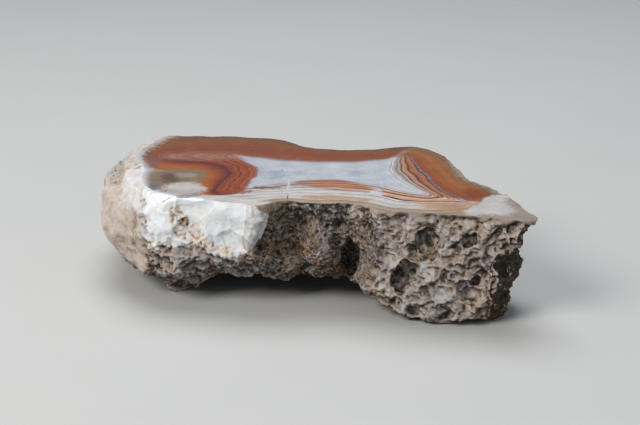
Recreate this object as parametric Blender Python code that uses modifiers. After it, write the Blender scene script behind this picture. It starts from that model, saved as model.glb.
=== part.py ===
"""Sumatra agate: a thick piece of banded agate in its pitted matrix, sawn and polished on top.

The stone is one piece of rock, so it is one solid. Its polished face is level, its sides are broken
rock, and it rests on small flats of a hollow underside. X runs along the stone, +Y points away from
the broken front, and the origin lies under the middle of the stone, on the surface it rests on.
"""

import math

import bmesh
import bpy
import numpy as np
from mathutils import Matrix, Vector, noise

# Lengths in this file are millimetres, and MM turns them into metres where a mesh is made.
MM = 0.001

STONE = "agate"
POLISHED_HEIGHT = 20.5
ALLOWANCE = 2.2
VOXEL = 0.72
SOFTENING_STEPS = 5
TRIANGLES = 10500
# The blocks of air that cut the stone: how wide they are, and how far they reach past the cut.
AIR_WIDTH, AIR_DEPTH = 140.0, 20.0

# Heights of the sections through the rough stone, from above the saw cut down to under the table.
SECTION_HEIGHTS = (POLISHED_HEIGHT + ALLOWANCE, POLISHED_HEIGHT, 17.5, 12.0, 6.0, -1.5)

# The rim of the polished face, anticlockwise from the front left: its x and y, and how far the rock
# stands out from it, away from the middle, at the four lower sections. Below zero it is set back.
FRONT_RIM = (
    (-24.5, -15.2, 0.4, 0.3, -0.6, -3.0),
    (-18.4, -15.9, 0.2, 0.1, -0.6, -3.0),
    (-11.5, -17.6, 0.2, 0.0, -1.0, -3.0),
    (-8.8, -19.3, 0.0, -0.8, -2.4, -4.0),
    (-6.5, -17.9, -2.0, -4.2, -4.0, -5.0),
    (-4.0, -16.0, -2.0, -3.8, -3.2, -4.5),
    (-1.4, -17.6, -3.2, -5.4, -4.8, -6.0),
    (6.2, -18.1, -2.6, -4.4, -5.6, -7.0),
    (9.9, -19.5, -1.2, -2.8, -4.4, -6.0),
    (12.0, -21.9, -0.3, -1.0, -2.4, -4.2),
    (20.2, -23.6, -0.1, 0.2, -0.6, -2.6),
    (29.2, -25.2, 0.0, 0.2, -0.8, -3.2),
    (36.6, -28.0, -2.6, -6.4, -6.8, -8.0),
)
RIGHT_RIM = (
    (38.5, -26.2, -2.2, -5.2, -5.8, -7.0),
    (36.2, -20.5, -0.2, -0.8, -1.2, -3.2),
    (34.3, -12.2, 1.0, 3.6, 3.0, 0.6),
    (32.0, -8.4, 1.6, 4.2, 3.6, 0.4),
    (28.9, -4.8, 1.6, 3.0, 2.4, -0.8),
    (27.4, 0.8, 1.4, 2.6, 1.6, -1.6),
    (25.3, 11.3, 1.2, 2.6, 1.6, -1.4),
)
BACK_RIM = (
    (22.6, 15.4, 1.4, 2.6, 1.4, -1.8),
    (19.5, 17.9, 1.4, 2.4, 1.0, -2.4),
    (15.5, 17.0, 1.2, 2.2, 0.6, -2.6),
    (11.4, 15.4, 1.0, 2.2, 1.0, -1.6),
    (5.8, 15.4, 1.0, 2.4, 1.2, -1.2),
    (2.0, 16.1, 1.0, 2.6, 1.4, -1.0),
    (-1.8, 18.2, 1.2, 2.8, 1.4, -1.6),
    (-4.6, 22.2, 1.2, 2.6, 1.0, -2.4),
    (-7.7, 23.6, 1.2, 2.4, 0.8, -3.0),
    (-14.5, 24.9, 1.2, 1.8, 0.4, -3.4),
    (-22.0, 25.4, 1.2, 1.6, 0.0, -4.0),
)
LEFT_RIM = (
    (-29.8, 26.0, 2.4, 2.8, 1.0, -2.4),
    (-32.8, 22.4, 3.6, 3.8, 1.6, -1.8),
    (-34.2, 17.0, 3.7, 4.3, 1.9, -1.4),
    (-34.2, 11.6, 3.8, 4.6, 2.0, -1.2),
    (-33.6, 6.4, 3.9, 5.2, 2.4, -1.0),
    (-32.4, 0.6, 3.9, 5.8, 2.8, -0.8),
    (-30.8, -5.0, 3.3, 4.8, 1.6, -1.0),
    (-28.8, -9.8, 2.2, 3.2, 0.6, -2.0),
    (-26.4, -13.6, 1.1, 1.5, 0.2, -3.0),
)

# The hollow underside: an arch, a chamfer that rises towards the front, and the bowls of the feet.
ARCH_HEIGHT = 3.9
UNDERSIDE_STEP = 1.5
FOOT_DEPTH = 0.7
# Along x: where the chamfer leaves the table, as a y, and its rise for each millimetre forward.
CHAMFER = (
    (-40.0, -2.0, 0.70),
    (-30.0, -5.0, 0.85),
    (-10.0, -5.6, 0.85),
    (-6.0, -8.0, 1.20),
    (7.0, -8.4, 1.20),
    (11.0, -14.0, 1.10),
    (14.5, -26.0, 0.80),
    (40.0, -30.0, 0.50),
)
# The feet: x, y, the radius of the flat, and the rise of the bowl around it.
FEET = (
    (-22.5, -3.2, 2.6, 0.85),
    (21.5, -18.2, 3.0, 0.55),
    (29.5, -15.5, 4.0, 0.50),
    (-7.0, 15.0, 3.0, 0.45),
)

# Hollows too deep to push in: centre, three half-widths, and turns about x, y and z in degrees.
HOLLOWS = {
    "crevice": ((7.0, -13.4, 8.2), (1.5, 5.0, 5.0), (0.0, 16.0, -8.0)),
    "recess_roof": ((-0.6, -17.6, 17.2), (6.4, 2.6, 1.8), (0.0, 0.0, -2.0)),
    "recess_wall": ((-7.6, -17.2, 12.4), (1.8, 2.2, 3.4), (0.0, 10.0, 0.0)),
    "ledge_left": ((-18.0, -16.2, 7.5), (9.0, 1.5, 0.8), (0.0, 0.0, -6.0)),
    "ledge_middle": ((-3.4, -14.4, 5.6), (7.4, 1.6, 0.7), (0.0, 6.0, 4.0)),
    "cave_top": ((20.2, -23.2, 15.2), (2.4, 3.2, 1.9), (0.0, 22.0, 0.0)),
    "cave_toe": ((17.4, -22.6, 13.2), (1.8, 2.8, 1.0), (0.0, 38.0, 0.0)),
    "cave_low": ((16.6, -21.4, 9.9), (2.1, 3.0, 1.6), (0.0, -12.0, 0.0)),
    "cave_foot": ((15.6, -20.8, 7.4), (1.2, 2.4, 1.6), (0.0, 0.0, 0.0)),
    "pocket": ((14.8, -22.8, 17.0), (1.9, 2.0, 2.0), (0.0, 0.0, 0.0)),
    "scoop": ((28.4, -25.0, 7.4), (2.0, 2.2, 3.2), (0.0, 32.0, 0.0)),
    "notch": ((26.8, -25.6, 16.4), (1.0, 1.8, 2.1), (0.0, 10.0, 0.0)),
    "bubble": ((24.7, -24.8, 9.8), (1.3, 1.8, 1.3), (0.0, 0.0, 0.0)),
    "slot": ((9.9, -18.6, 15.0), (0.45, 2.2, 1.3), (0.0, -12.0, 30.0)),
    "toe_pit": ((10.9, -15.6, 5.3), (1.0, 1.6, 1.4), (0.0, 20.0, 0.0)),
    "valley": ((-29.3, -13.2, 13.0), (0.7, 1.5, 6.0), (0.0, 0.0, -42.0)),
    "crease": ((-33.4, -9.2, 14.6), (0.6, 1.4, 5.4), (0.0, -10.0, -50.0)),
    "under_left": ((-14.0, 2.0, 3.2), (5.5, 4.0, 1.6), (0.0, 0.0, 25.0)),
    "under_right": ((14.0, 4.0, 3.4), (4.5, 6.0, 1.8), (0.0, 0.0, -20.0)),
}
# The trough that splits the right front corner: its two ends, each with a radius.
TROUGH = (((34.0, -22.6, 13.0), 0.7), ((33.2, -22.4, -3.0), 2.0))
# The leaf of matrix that stands out over the crevice.
LEAF = ((2.4, -13.8, 11.2), (3.6, 2.8, 4.6), (0.0, -14.0, 14.0))

# The white face is chipped in shallow scoops: centre, radius and how deep the scoop goes.
CHIPS = (
    ((-14.4, -17.2, 14.6), 4.2, 0.9),
    ((-20.0, -16.4, 15.6), 4.6, 0.7),
    ((-11.8, -18.0, 11.6), 2.8, 0.7),
    ((-17.4, -16.6, 18.6), 2.6, 0.5),
    ((-24.6, -15.6, 12.0), 3.6, 0.9),
)
# Rock relief: the spacing of what shows at this size, and how far it stands out or goes in.
LUMP_SPACING, LUMP_RELIEF = 7.5, 0.8
KNOB_SPACING, KNOB_RELIEF = 2.9, 0.45
SPONGE_SPACING, SPONGE_DEPTH = 2.6, 0.9
PIT_SPACING, PIT_DEPTH = 2.8, 0.8
PIT_RADII = (0.6, 1.5)
PIT_SCATTER = 37.0
FRACTURE_SPACING, FRACTURE_RELIEF = 3.6, 0.34
SPONGE_SHIFT = Vector((3.7, 1.9, 5.3))
# Where the white face begins, is full, is still full and has ended: along x and in height.
WHITE_ACROSS = (-30.0, -27.0, -9.6, -8.0)
WHITE_HEIGHTS = (8.2, 9.8, 24.0, 25.0)
# How squarely the rock has to face the front before it counts as the white face.
WHITE_FACING = (0.2, 0.6)
BULGE_EDGE = (-33.0, -29.0)
# The rock is tight just under the polished face, so its rim stays whole.
RIM_SKIN = (17.6, 19.6)
# How much calmer than open matrix the bulge, the tight skin and the smoother rock are.
BULGE_CALM, SKIN_CALM, LUMP_CALM = 0.8, 0.85, 0.5
# The noises' octaves: how fast they fade, how much finer each is than the last, and how many there are.
LUMP_OCTAVES = (1.0, 2.0, 2)
SPONGE_OCTAVES = (0.8, 2.0, 2)
# The part of the sponge's noise over which its hollows open.
SPONGE_OPENING = (0.05, 0.55)


def clear_scene():
    """Removes the objects that the scene starts with."""
    for thing in list(bpy.data.objects):
        bpy.data.objects.remove(thing, do_unlink=True)


def new_collection(name):
    """A collection of this name under the scene's own."""
    group = bpy.data.collections.new(name)
    bpy.context.scene.collection.children.link(group)
    return group


def add_object(name, mesh, group, helper=False):
    """An object for the mesh. A helper is drawn as wire and left out of a render."""
    thing = bpy.data.objects.new(name, mesh)
    group.objects.link(thing)
    if helper:
        thing.hide_render = True
        thing.display_type = "WIRE"
    return thing


def mesh_from(shape, name):
    """A mesh datablock from a bmesh in millimetres, which it frees."""
    bmesh.ops.scale(shape, vec=(MM, MM, MM), verts=shape.verts)
    bmesh.ops.recalc_face_normals(shape, faces=shape.faces)
    mesh = bpy.data.meshes.new(name)
    shape.to_mesh(mesh)
    shape.free()
    return mesh


def section_rings():
    """The stone's outline at each section height, as lists of points in millimetres."""
    rows = np.array(FRONT_RIM + RIGHT_RIM + BACK_RIM + LEFT_RIM)
    rim = rows[:, :2]
    outward = rim / np.linalg.norm(rim, axis=1, keepdims=True)
    stand_out = np.column_stack([np.zeros(len(rows)), np.zeros(len(rows)), rows[:, 2:]])
    for height, out in zip(SECTION_HEIGHTS, stand_out.T):
        outline = rim + outward * out[:, None]
        yield [Vector((x, y, height)) for x, y in outline]


def rough_block():
    """The broken block before it is hollowed: a loft through the unlike sections, closed at both ends."""
    shape = bmesh.new()
    rings = [[shape.verts.new(point) for point in ring] for ring in section_rings()]
    count = len(rings[0])
    for upper, lower in zip(rings, rings[1:]):
        for i in range(count):
            j = (i + 1) % count
            shape.faces.new((upper[i], upper[j], lower[j], lower[i]))
    shape.faces.new(rings[0])
    shape.faces.new(rings[-1])
    bmesh.ops.triangulate(shape, faces=shape.faces)
    return mesh_from(shape, "rough_block")


def underside_height(x, y):
    """How high the underside lies above the table at this place."""
    places, starts, rises = zip(*CHAMFER)
    start = np.interp(x, places, starts)
    rise = np.interp(x, places, rises)
    height = max(ARCH_HEIGHT, rise * (start - y))
    for foot_x, foot_y, flat, slope in FEET:
        away = math.hypot(x - foot_x, y - foot_y)
        height = min(height, slope * max(0.0, away - flat) - FOOT_DEPTH)
    return height


def underside_cutter():
    """The block of air under the stone, with the underside's hills on top."""
    steps = int(AIR_WIDTH / UNDERSIDE_STEP)
    shape = bmesh.new()
    bmesh.ops.create_grid(shape, x_segments=steps, y_segments=steps, size=AIR_WIDTH / 2)
    for vert in shape.verts:
        vert.co.z = underside_height(vert.co.x, vert.co.y)
    skirt = bmesh.ops.extrude_edge_only(shape, edges=[e for e in shape.edges if e.is_boundary])
    for vert in [g for g in skirt["geom"] if isinstance(g, bmesh.types.BMVert)]:
        vert.co.z = -AIR_DEPTH
    bmesh.ops.holes_fill(shape, edges=[e for e in shape.edges if e.is_boundary])
    return mesh_from(shape, "underside")


def placed(centre, turns):
    """The matrix that turns a shape about its own middle and moves it to a centre."""
    x, y, z = (math.radians(t) for t in turns)
    turn = Matrix.Rotation(z, 4, "Z") @ Matrix.Rotation(y, 4, "Y") @ Matrix.Rotation(x, 4, "X")
    return Matrix.Translation(centre) @ turn


def lens(name, centre, half_widths, turns):
    """An egg-shaped mesh of these half-widths."""
    shape = bmesh.new()
    bmesh.ops.create_icosphere(shape, subdivisions=3, radius=1.0)
    bmesh.ops.scale(shape, vec=half_widths, verts=shape.verts)
    bmesh.ops.transform(shape, matrix=placed(centre, turns), verts=shape.verts)
    return mesh_from(shape, name)


def trough_cutter():
    """The tapered groove at the right front corner."""
    (top, top_radius), (foot, foot_radius) = TROUGH
    top, foot = Vector(top), Vector(foot)
    shape = bmesh.new()
    bmesh.ops.create_cone(
        shape,
        cap_ends=True,
        segments=20,
        radius1=foot_radius,
        radius2=top_radius,
        depth=(top - foot).length,
    )
    lean = (top - foot).to_track_quat("Z", "Y").to_matrix().to_4x4()
    bmesh.ops.transform(shape, matrix=Matrix.Translation((top + foot) / 2) @ lean, verts=shape.verts)
    return mesh_from(shape, "trough")


def saw(name, low, high, group):
    """A box of air that cuts the stone flat at one height."""
    shape = bmesh.new()
    bmesh.ops.create_cube(shape, size=1.0)
    bmesh.ops.scale(shape, vec=(AIR_WIDTH, AIR_WIDTH, high - low), verts=shape.verts)
    bmesh.ops.translate(shape, vec=(0.0, 0.0, (high + low) / 2), verts=shape.verts)
    return add_object(name, mesh_from(shape, name), group, helper=True)


def boolean(thing, other, operation):
    """A live Boolean modifier with the exact solver."""
    modifier = thing.modifiers.new(other.name, "BOOLEAN")
    modifier.object = other
    modifier.operation = operation
    modifier.solver = "EXACT"


def carved_block(cutters):
    """The block with its underside, leaf, crevice, trough and deep hollows, as one even mesh."""
    block = add_object("block", rough_block(), cutters, helper=True)
    boolean(block, add_object("leaf", lens("leaf", *LEAF), cutters, helper=True), "UNION")
    boolean(block, add_object("underside", underside_cutter(), cutters, helper=True), "DIFFERENCE")
    boolean(block, add_object("trough", trough_cutter(), cutters, helper=True), "DIFFERENCE")
    for name, egg in HOLLOWS.items():
        boolean(block, add_object(name, lens(name, *egg), cutters, helper=True), "DIFFERENCE")
    remesh = block.modifiers.new("even", "REMESH")
    remesh.mode = "VOXEL"
    remesh.voxel_size = VOXEL * MM
    soften = block.modifiers.new("soften", "SMOOTH")
    soften.factor = 0.5
    soften.iterations = SOFTENING_STEPS
    bpy.context.view_layer.update()
    evaluated = block.evaluated_get(bpy.context.evaluated_depsgraph_get())
    return bpy.data.meshes.new_from_object(evaluated)


def ramp(value, start, end):
    """0 before start, 1 after end, and a smooth step between them."""
    share = min(1.0, max(0.0, (value - start) / (end - start)))
    return share * share * (3.0 - 2.0 * share)


def whiteness(place, normal):
    """1 on the white chipped face, 0 away from it."""
    across = ramp(place.x, *WHITE_ACROSS[:2]) * (1.0 - ramp(place.x, *WHITE_ACROSS[2:]))
    upward = ramp(place.z, *WHITE_HEIGHTS[:2]) * (1.0 - ramp(place.z, *WHITE_HEIGHTS[2:]))
    return across * upward * ramp(-normal.y, *WHITE_FACING)


def pitting(place):
    """How deep the matrix is eaten at this place: ragged hollows, and bubbles at scattered points."""
    sponge = noise.fractal(place / SPONGE_SPACING + SPONGE_SHIFT, *SPONGE_OCTAVES)
    depth = SPONGE_DEPTH / PIT_DEPTH * ramp(sponge, *SPONGE_OPENING)
    for near, centre in zip(*noise.voronoi(place / PIT_SPACING)):
        radius = PIT_RADII[0] + (PIT_RADII[1] - PIT_RADII[0]) * abs(noise.cell(centre * PIT_SCATTER))
        away = near * PIT_SPACING / radius
        if away < 1.0:
            depth = max(depth, radius * math.sqrt(1.0 - away * away))
    return PIT_DEPTH * depth


def chipping(place):
    """How deep the scoops and the flat fracture steps of the white face go at this place."""
    depth = FRACTURE_RELIEF * noise.voronoi(place / FRACTURE_SPACING)[0][0]
    for centre, radius, deep in CHIPS:
        away = (place - Vector(centre)).length / radius
        depth += deep * max(0.0, 1.0 - away * away)
    return depth


def relief(place, normal):
    """How far the rock stands out along its normal, in millimetres."""
    white = whiteness(place, normal)
    bulge = 1.0 - ramp(place.x, *BULGE_EDGE)
    lumps = LUMP_RELIEF * noise.fractal(place / LUMP_SPACING, *LUMP_OCTAVES)
    knobs = KNOB_RELIEF * noise.noise(place / KNOB_SPACING)
    tight = ramp(place.z, *RIM_SKIN)
    matrix = (1.0 - white) * (1.0 - BULGE_CALM * bulge) * (1.0 - SKIN_CALM * tight)
    rough = lumps * (1.0 - LUMP_CALM * tight) + knobs * (1.0 - LUMP_CALM * max(white, tight))
    return rough - matrix * pitting(place) - white * chipping(place)


def roughen(mesh):
    """Moves each point of the mesh along its normal by the relief there."""
    shape = bmesh.new()
    shape.from_mesh(mesh)
    shape.normal_update()
    moves = [v.normal * (MM * relief(v.co / MM, v.normal)) for v in shape.verts]
    for vert, move in zip(shape.verts, moves):
        vert.co += move
    shape.to_mesh(mesh)
    triangles = sum(len(face.verts) - 2 for face in shape.faces)
    shape.free()
    return triangles


def agate_material():
    """Weathered silica: mostly brown-grey matrix and white rock, satin, not metallic."""
    material = bpy.data.materials.new("agate_rock")
    material.use_nodes = True
    shader = material.node_tree.nodes["Principled BSDF"]
    shader.inputs["Base Color"].default_value = (0.42, 0.33, 0.28, 1.0)
    shader.inputs["Roughness"].default_value = 0.6
    shader.inputs["Metallic"].default_value = 0.0
    return material


def build_stone():
    """The stone, roughened and thinned, with its polished face and its feet cut flat."""
    stones = new_collection("sumatra_agate")
    cutters = new_collection("cutters")
    mesh = carved_block(cutters)
    mesh.name = STONE
    triangles = roughen(mesh)
    stone = add_object(STONE, mesh, stones)
    thin = stone.modifiers.new("thin", "DECIMATE")
    thin.ratio = min(1.0, TRIANGLES / triangles)
    saw_top = saw("top_saw", POLISHED_HEIGHT, POLISHED_HEIGHT + AIR_DEPTH, cutters)
    boolean(stone, saw_top, "DIFFERENCE")
    boolean(stone, saw("table", -AIR_DEPTH, 0.0, cutters), "DIFFERENCE")
    mesh.materials.clear()
    mesh.materials.append(agate_material())


def main():
    """Clears the scene and builds the stone."""
    clear_scene()
    build_stone()


if __name__ == "__main__":
    main()
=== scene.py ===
"""Looks of a sumatra agate: a thick piece of banded agate in broken, pitted rock, polished on top.

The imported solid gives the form. This file adds what the eye meets close up: the bubbles, pits, scoops
and knobs of the broken sides, the fortification bands of the polished face, and loose grit.
Lengths are millimetres unless a name says otherwise, and MM turns them into Blender's metres.
"""

import logging
import math
from collections.abc import Iterable, Sequence
from dataclasses import dataclass, field
from enum import Enum
from typing import Any, ClassVar

import bmesh
import bpy
import numpy as np
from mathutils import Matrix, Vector, geometry, kdtree
from mathutils.noise import fractal

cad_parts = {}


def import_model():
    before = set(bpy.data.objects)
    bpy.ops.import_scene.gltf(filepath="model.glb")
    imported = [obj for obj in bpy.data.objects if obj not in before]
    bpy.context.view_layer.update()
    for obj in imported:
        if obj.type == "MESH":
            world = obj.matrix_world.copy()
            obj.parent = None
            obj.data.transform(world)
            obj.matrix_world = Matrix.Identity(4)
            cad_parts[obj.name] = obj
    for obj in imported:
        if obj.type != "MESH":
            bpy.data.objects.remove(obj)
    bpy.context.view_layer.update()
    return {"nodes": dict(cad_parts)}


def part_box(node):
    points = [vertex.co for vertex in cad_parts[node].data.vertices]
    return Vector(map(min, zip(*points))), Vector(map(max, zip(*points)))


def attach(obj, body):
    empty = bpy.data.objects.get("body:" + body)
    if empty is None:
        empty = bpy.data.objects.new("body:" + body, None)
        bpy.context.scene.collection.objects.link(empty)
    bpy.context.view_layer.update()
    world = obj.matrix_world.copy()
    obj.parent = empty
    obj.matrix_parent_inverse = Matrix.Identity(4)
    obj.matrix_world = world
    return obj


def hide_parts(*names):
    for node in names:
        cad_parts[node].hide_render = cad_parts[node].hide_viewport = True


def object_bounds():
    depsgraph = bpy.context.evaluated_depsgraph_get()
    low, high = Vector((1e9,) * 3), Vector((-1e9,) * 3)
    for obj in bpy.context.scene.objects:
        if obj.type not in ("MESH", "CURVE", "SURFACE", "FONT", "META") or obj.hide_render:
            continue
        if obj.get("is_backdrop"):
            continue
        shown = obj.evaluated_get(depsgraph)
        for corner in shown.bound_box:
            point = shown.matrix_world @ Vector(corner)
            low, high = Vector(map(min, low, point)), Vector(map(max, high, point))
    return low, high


MM = 0.001
BODY = "root"
NODE = "agate"
# In metres: how near to each other two points are one, and how near the saw's plane a point is on it.
WELD = 1e-6
ON_SAW = 1e-8
# No divisor is smaller than this.
TINY = 1e-6

# Blender's names for the kinds of node that come up again and again.
MATH, VECTOR, RANGE = "ShaderNodeMath", "ShaderNodeVectorMath", "ShaderNodeMapRange"
NOISE, CELLS, RAMP = "ShaderNodeTexNoise", "ShaderNodeTexVoronoi", "ShaderNodeValToRGB"
MIX, ATTRIBUTE = "ShaderNodeMix", "ShaderNodeAttribute"
# Socket places on the Mix node when it mixes colours. The Map Range node takes its value at 0, the span
# it reads at 1 and 2, and the span it draws that out to at 3 and 4.
MIX_FACTOR, MIX_UNDER, MIX_OVER = 0, 6, 7

log = logging.getLogger("agate")

Point = tuple[float, float]
Outline = Sequence[Point]
Stops = Sequence[tuple[float, str]]
Tree = bpy.types.NodeTree
Value = bpy.types.Node | bpy.types.NodeSocket | float


class Face(Enum):
    """The two kinds of surface on the stone, by their place among its materials."""

    BROKEN = 0
    POLISHED = 1


class Side(Enum):
    """The way an outline is read: from above as x and y, or from the front as x and z."""

    PLAN = (0, 1)
    FRONT = (0, 2)

    def of(self, places: np.ndarray) -> np.ndarray:
        """The two numbers of each place that this side shows."""
        return places[:, list(self.value)]


def linear(code: str) -> tuple[float, float, float, float]:
    """Turns an sRGB hex colour into linear light.

    Args:
        code: six hex digits after a hash sign.

    Returns:
        Red, green, blue and a full alpha.
    """
    parts = [int(code[i : i + 2], 16) / 255.0 for i in (1, 3, 5)]
    red, green, blue = (c / 12.92 if c <= 0.04045 else ((c + 0.055) / 1.055) ** 2.4 for c in parts)
    return red, green, blue, 1.0


def feed(tree: Tree, socket: bpy.types.NodeSocket, value: Any) -> None:
    """Gives an input a plain value, an output's, or a node's, which is that of its first output in use.

    Args:
        tree: the tree that the link goes in.
        socket: the input.
        value: what it gets.
    """
    if isinstance(value, bpy.types.Node):
        value = next(output for output in value.outputs if output.enabled)
    if isinstance(value, bpy.types.NodeSocket):
        tree.links.new(value, socket)
    else:
        socket.default_value = value


def add_node(tree: Tree, kind: str, inputs: dict | None = None, **settings: Any) -> bpy.types.Node:
    """Adds a node, sets it and links it.

    Args:
        tree: the tree it goes in.
        kind: Blender's name for the node type.
        inputs: socket name or place, and the value, the output socket or the node that feeds it.
        **settings: properties of the node.

    Returns:
        The new node.
    """
    node = tree.nodes.new(kind)
    for name, value in settings.items():
        setattr(node, name, value)
    for key, value in (inputs or {}).items():
        feed(tree, node.inputs[key], value)
    return node


def scale_of(tree: Tree, spacing: Value) -> Value:
    """A texture's scale from the spacing of its features in millimetres, a number or a tree's input.

    Args:
        tree: the tree it goes in.
        spacing: the spacing.

    Returns:
        The scale for the texture's own socket.
    """
    if isinstance(spacing, float):
        return 1.0 / (MM * spacing)
    return add_node(tree, MATH, {0: 1.0 / MM, 1: spacing}, operation="DIVIDE")


def uneven(
    tree: Tree, place: Value, spacing: Value, reach: tuple[Value, Value], span: Point = (0.25, 0.75),
    detail: float = 4.0, roughness: float = 0.5,
) -> Value:
    """Noise whose raw values within a span are drawn out to a reach.

    Args:
        tree: the tree it goes in.
        place: where it is read.
        spacing: the spacing of its features in millimetres.
        reach: the value at the span's start and at its end.
        span: the raw values that are drawn out, from 0 to 1.
        detail: how many finer layers it has.
        roughness: how strong these are.

    Returns:
        The value at the place.
    """
    scale = scale_of(tree, spacing)
    noise = add_node(tree, NOISE, {"Vector": place, "Scale": scale, "Detail": detail, "Roughness": roughness})
    return add_node(tree, RANGE, {0: noise, 1: span[0], 2: span[1], 3: reach[0], 4: reach[1]})


def fill_ramp(node: bpy.types.Node, stops: Stops, end: float = 1.0) -> bpy.types.Node:
    """Gives a colour ramp's node its stops, with places from 0 to the end, and hands it back.

    Args:
        node: the ramp.
        stops: places, and the sRGB hex colour at each.
        end: the stops' place that the ramp's end stands for.

    Returns:
        The same node.
    """
    elements = node.color_ramp.elements
    while len(elements) < len(stops):
        elements.new(1.0)
    for element, (place, colour) in zip(elements, stops):
        element.position = min(1.0, place / end)
        element.color = linear(colour)
    return node


def blend_ramps(
    tree: Tree, factor: Value, first: Stops, layers: Iterable[tuple[Value, Stops]], end: float = 1.0
) -> Value:
    """Colours along a factor, with further sets of colours laid over the first one by their shares.

    Args:
        tree: the material's tree.
        factor: what the stops are read by, from 0 to 1.
        first: the lowest set of stops.
        layers: the share and the stops of each set that goes over it, in order.
        end: the stops' place that the factor's 1 stands for.

    Returns:
        The blended colour.
    """
    colour = fill_ramp(add_node(tree, RAMP, {0: factor}), first, end)
    for share, stops in layers:
        over = fill_ramp(add_node(tree, RAMP, {0: factor}), stops, end)
        colour = add_node(tree, MIX, {MIX_FACTOR: share, MIX_UNDER: colour, MIX_OVER: over}, data_type="RGBA")
    return colour


def new_tree(name: str, sockets: dict[str, str]) -> tuple[Tree, Any]:
    """Starts a Geometry Nodes tree that takes the rock and some sizes.

    Args:
        name: what the tree is called.
        sockets: the type of each further input, under its name.

    Returns:
        The tree, and its inputs by name.
    """
    tree = bpy.data.node_groups.new(name, "GeometryNodeTree")
    for label, kind in {"Rock": "Geometry", **sockets}.items():
        tree.interface.new_socket(label, in_out="INPUT", socket_type="NodeSocket" + kind)
    tree.interface.new_socket("Result", in_out="OUTPUT", socket_type="NodeSocketGeometry")
    return tree, add_node(tree, "NodeGroupInput").outputs


def evaluated_copy(thing: bpy.types.Object) -> bpy.types.Mesh:
    """The mesh that an object's modifiers give, as a plain mesh of its own.

    Args:
        thing: the object, which stays as it is.

    Returns:
        The new mesh, called what the object is called.
    """
    bpy.context.view_layer.update()
    evaluated = thing.evaluated_get(bpy.context.evaluated_depsgraph_get())
    mesh = bpy.data.meshes.new_from_object(evaluated)
    mesh.name = thing.name
    return mesh


def run_tree(thing: bpy.types.Object, tree: Tree, sizes: dict[str, Any]) -> None:
    """Runs a Geometry Nodes tree on an object and keeps its result as the object's mesh.

    Args:
        thing: the object, which has no modifier afterwards.
        tree: the tree.
        sizes: what the tree's inputs get, under their names.
    """
    modifier = thing.modifiers.new(tree.name, "NODES")
    modifier.node_group = tree
    for item in tree.interface.items_tree:
        if item.in_out == "INPUT" and item.name in sizes:
            modifier[item.identifier] = sizes[item.name]
    mesh = evaluated_copy(thing)
    thing.modifiers.remove(modifier)
    old = thing.data
    thing.data = mesh
    bpy.data.meshes.remove(old)


def put_in_scene(name: str, data: bpy.types.ID) -> bpy.types.Object:
    """A new object of this name for a mesh, a light or a camera, in the scene.

    Args:
        name: what it is called.
        data: its mesh, light or camera.

    Returns:
        The new object, at the origin.
    """
    thing = bpy.data.objects.new(name, data)
    bpy.context.scene.collection.objects.link(thing)
    return thing


def ramp(value: np.ndarray, start: float, end: float) -> np.ndarray:
    """0 before start, 1 after end, and a smooth step between them."""
    share = np.clip((value - start) / (end - start), 0.0, 1.0)
    return share * share * (3.0 - 2.0 * share)


def rounded(outline: Outline, rounds: int) -> np.ndarray:
    """Cuts the corners of a closed outline. A point that is given twice stays sharp.

    Args:
        outline: points in order.
        rounds: how often the corners are cut.

    Returns:
        The finer outline, a row for each point.
    """
    points = np.array(outline, float)
    for _ in range(rounds):
        after = np.roll(points, -1, axis=0)
        pairs = np.stack([0.75 * points + 0.25 * after, 0.25 * points + 0.75 * after], axis=1)
        points = pairs.reshape(-1, 2)
    return points


def signed_distance(places: np.ndarray, outline: Outline, rounds: int = 2) -> np.ndarray:
    """How far each place lies inside a closed outline with rounded corners, below zero outside it.

    Args:
        places: a row of two numbers for each place.
        outline: points in order.
        rounds: how often the outline's corners are cut.

    Returns:
        One distance for each place.
    """
    line = rounded(outline, rounds)
    nearest = np.full(len(places), np.inf)
    inside = np.zeros(len(places), bool)
    x, y = places.T
    for start, end in zip(line, np.roll(line, -1, axis=0)):
        run = end - start
        length = max(float(run @ run), TINY * TINY)
        share = np.clip(((places - start) @ run) / length, 0.0, 1.0)
        gap = places - start - share[:, None] * run
        nearest = np.minimum(nearest, np.einsum("ij,ij->i", gap, gap))
        if start[1] != end[1]:
            crosses = (start[1] > y) != (end[1] > y)
            inside ^= crosses & (x < start[0] + (y - start[1]) * run[0] / run[1])
    away = np.sqrt(nearest)
    return np.where(inside, away, -away)


def area_share(places: np.ndarray, outline: Outline, soft: float | np.ndarray) -> np.ndarray:
    """1 inside an outline, 0 outside it, and in between within a soft edge."""
    return ramp(signed_distance(places, outline), -soft, soft)


def store(mesh: bpy.types.Mesh, name: str, values: np.ndarray) -> None:
    """Keeps one number for each point of a mesh as a named attribute."""
    attribute = mesh.attributes.get(name) or mesh.attributes.new(name, "FLOAT", "POINT")
    attribute.data.foreach_set("value", values.astype(np.float32))


def point_table(mesh: bpy.types.Mesh) -> tuple[np.ndarray, np.ndarray]:
    """The places, in millimetres, and the normals of a mesh's points, a row for each.

    Args:
        mesh: the mesh that is read.

    Returns:
        The table of places and the table of normals.
    """
    tables = np.empty((2, len(mesh.vertices) * 3), np.float32)
    mesh.vertices.foreach_get("co", tables[0])
    mesh.vertices.foreach_get("normal", tables[1])
    places, normals = tables.reshape(2, -1, 3).astype(float)
    return places / MM, normals


@dataclass(frozen=True)
class Patch:
    """An area of one colour, painted over what lies under it, with a ragged edge.

    Attributes:
        name: what the attribute that carries it is called.
        colour: its sRGB hex colour.
        soft: how wide its edge fades.
        ragged: how far noise pushes its edge.
        strength: how much of what lies under it it hides.
        outline: its corners.
    """

    name: str
    colour: str
    soft: float
    ragged: float
    strength: float
    outline: Outline


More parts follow.
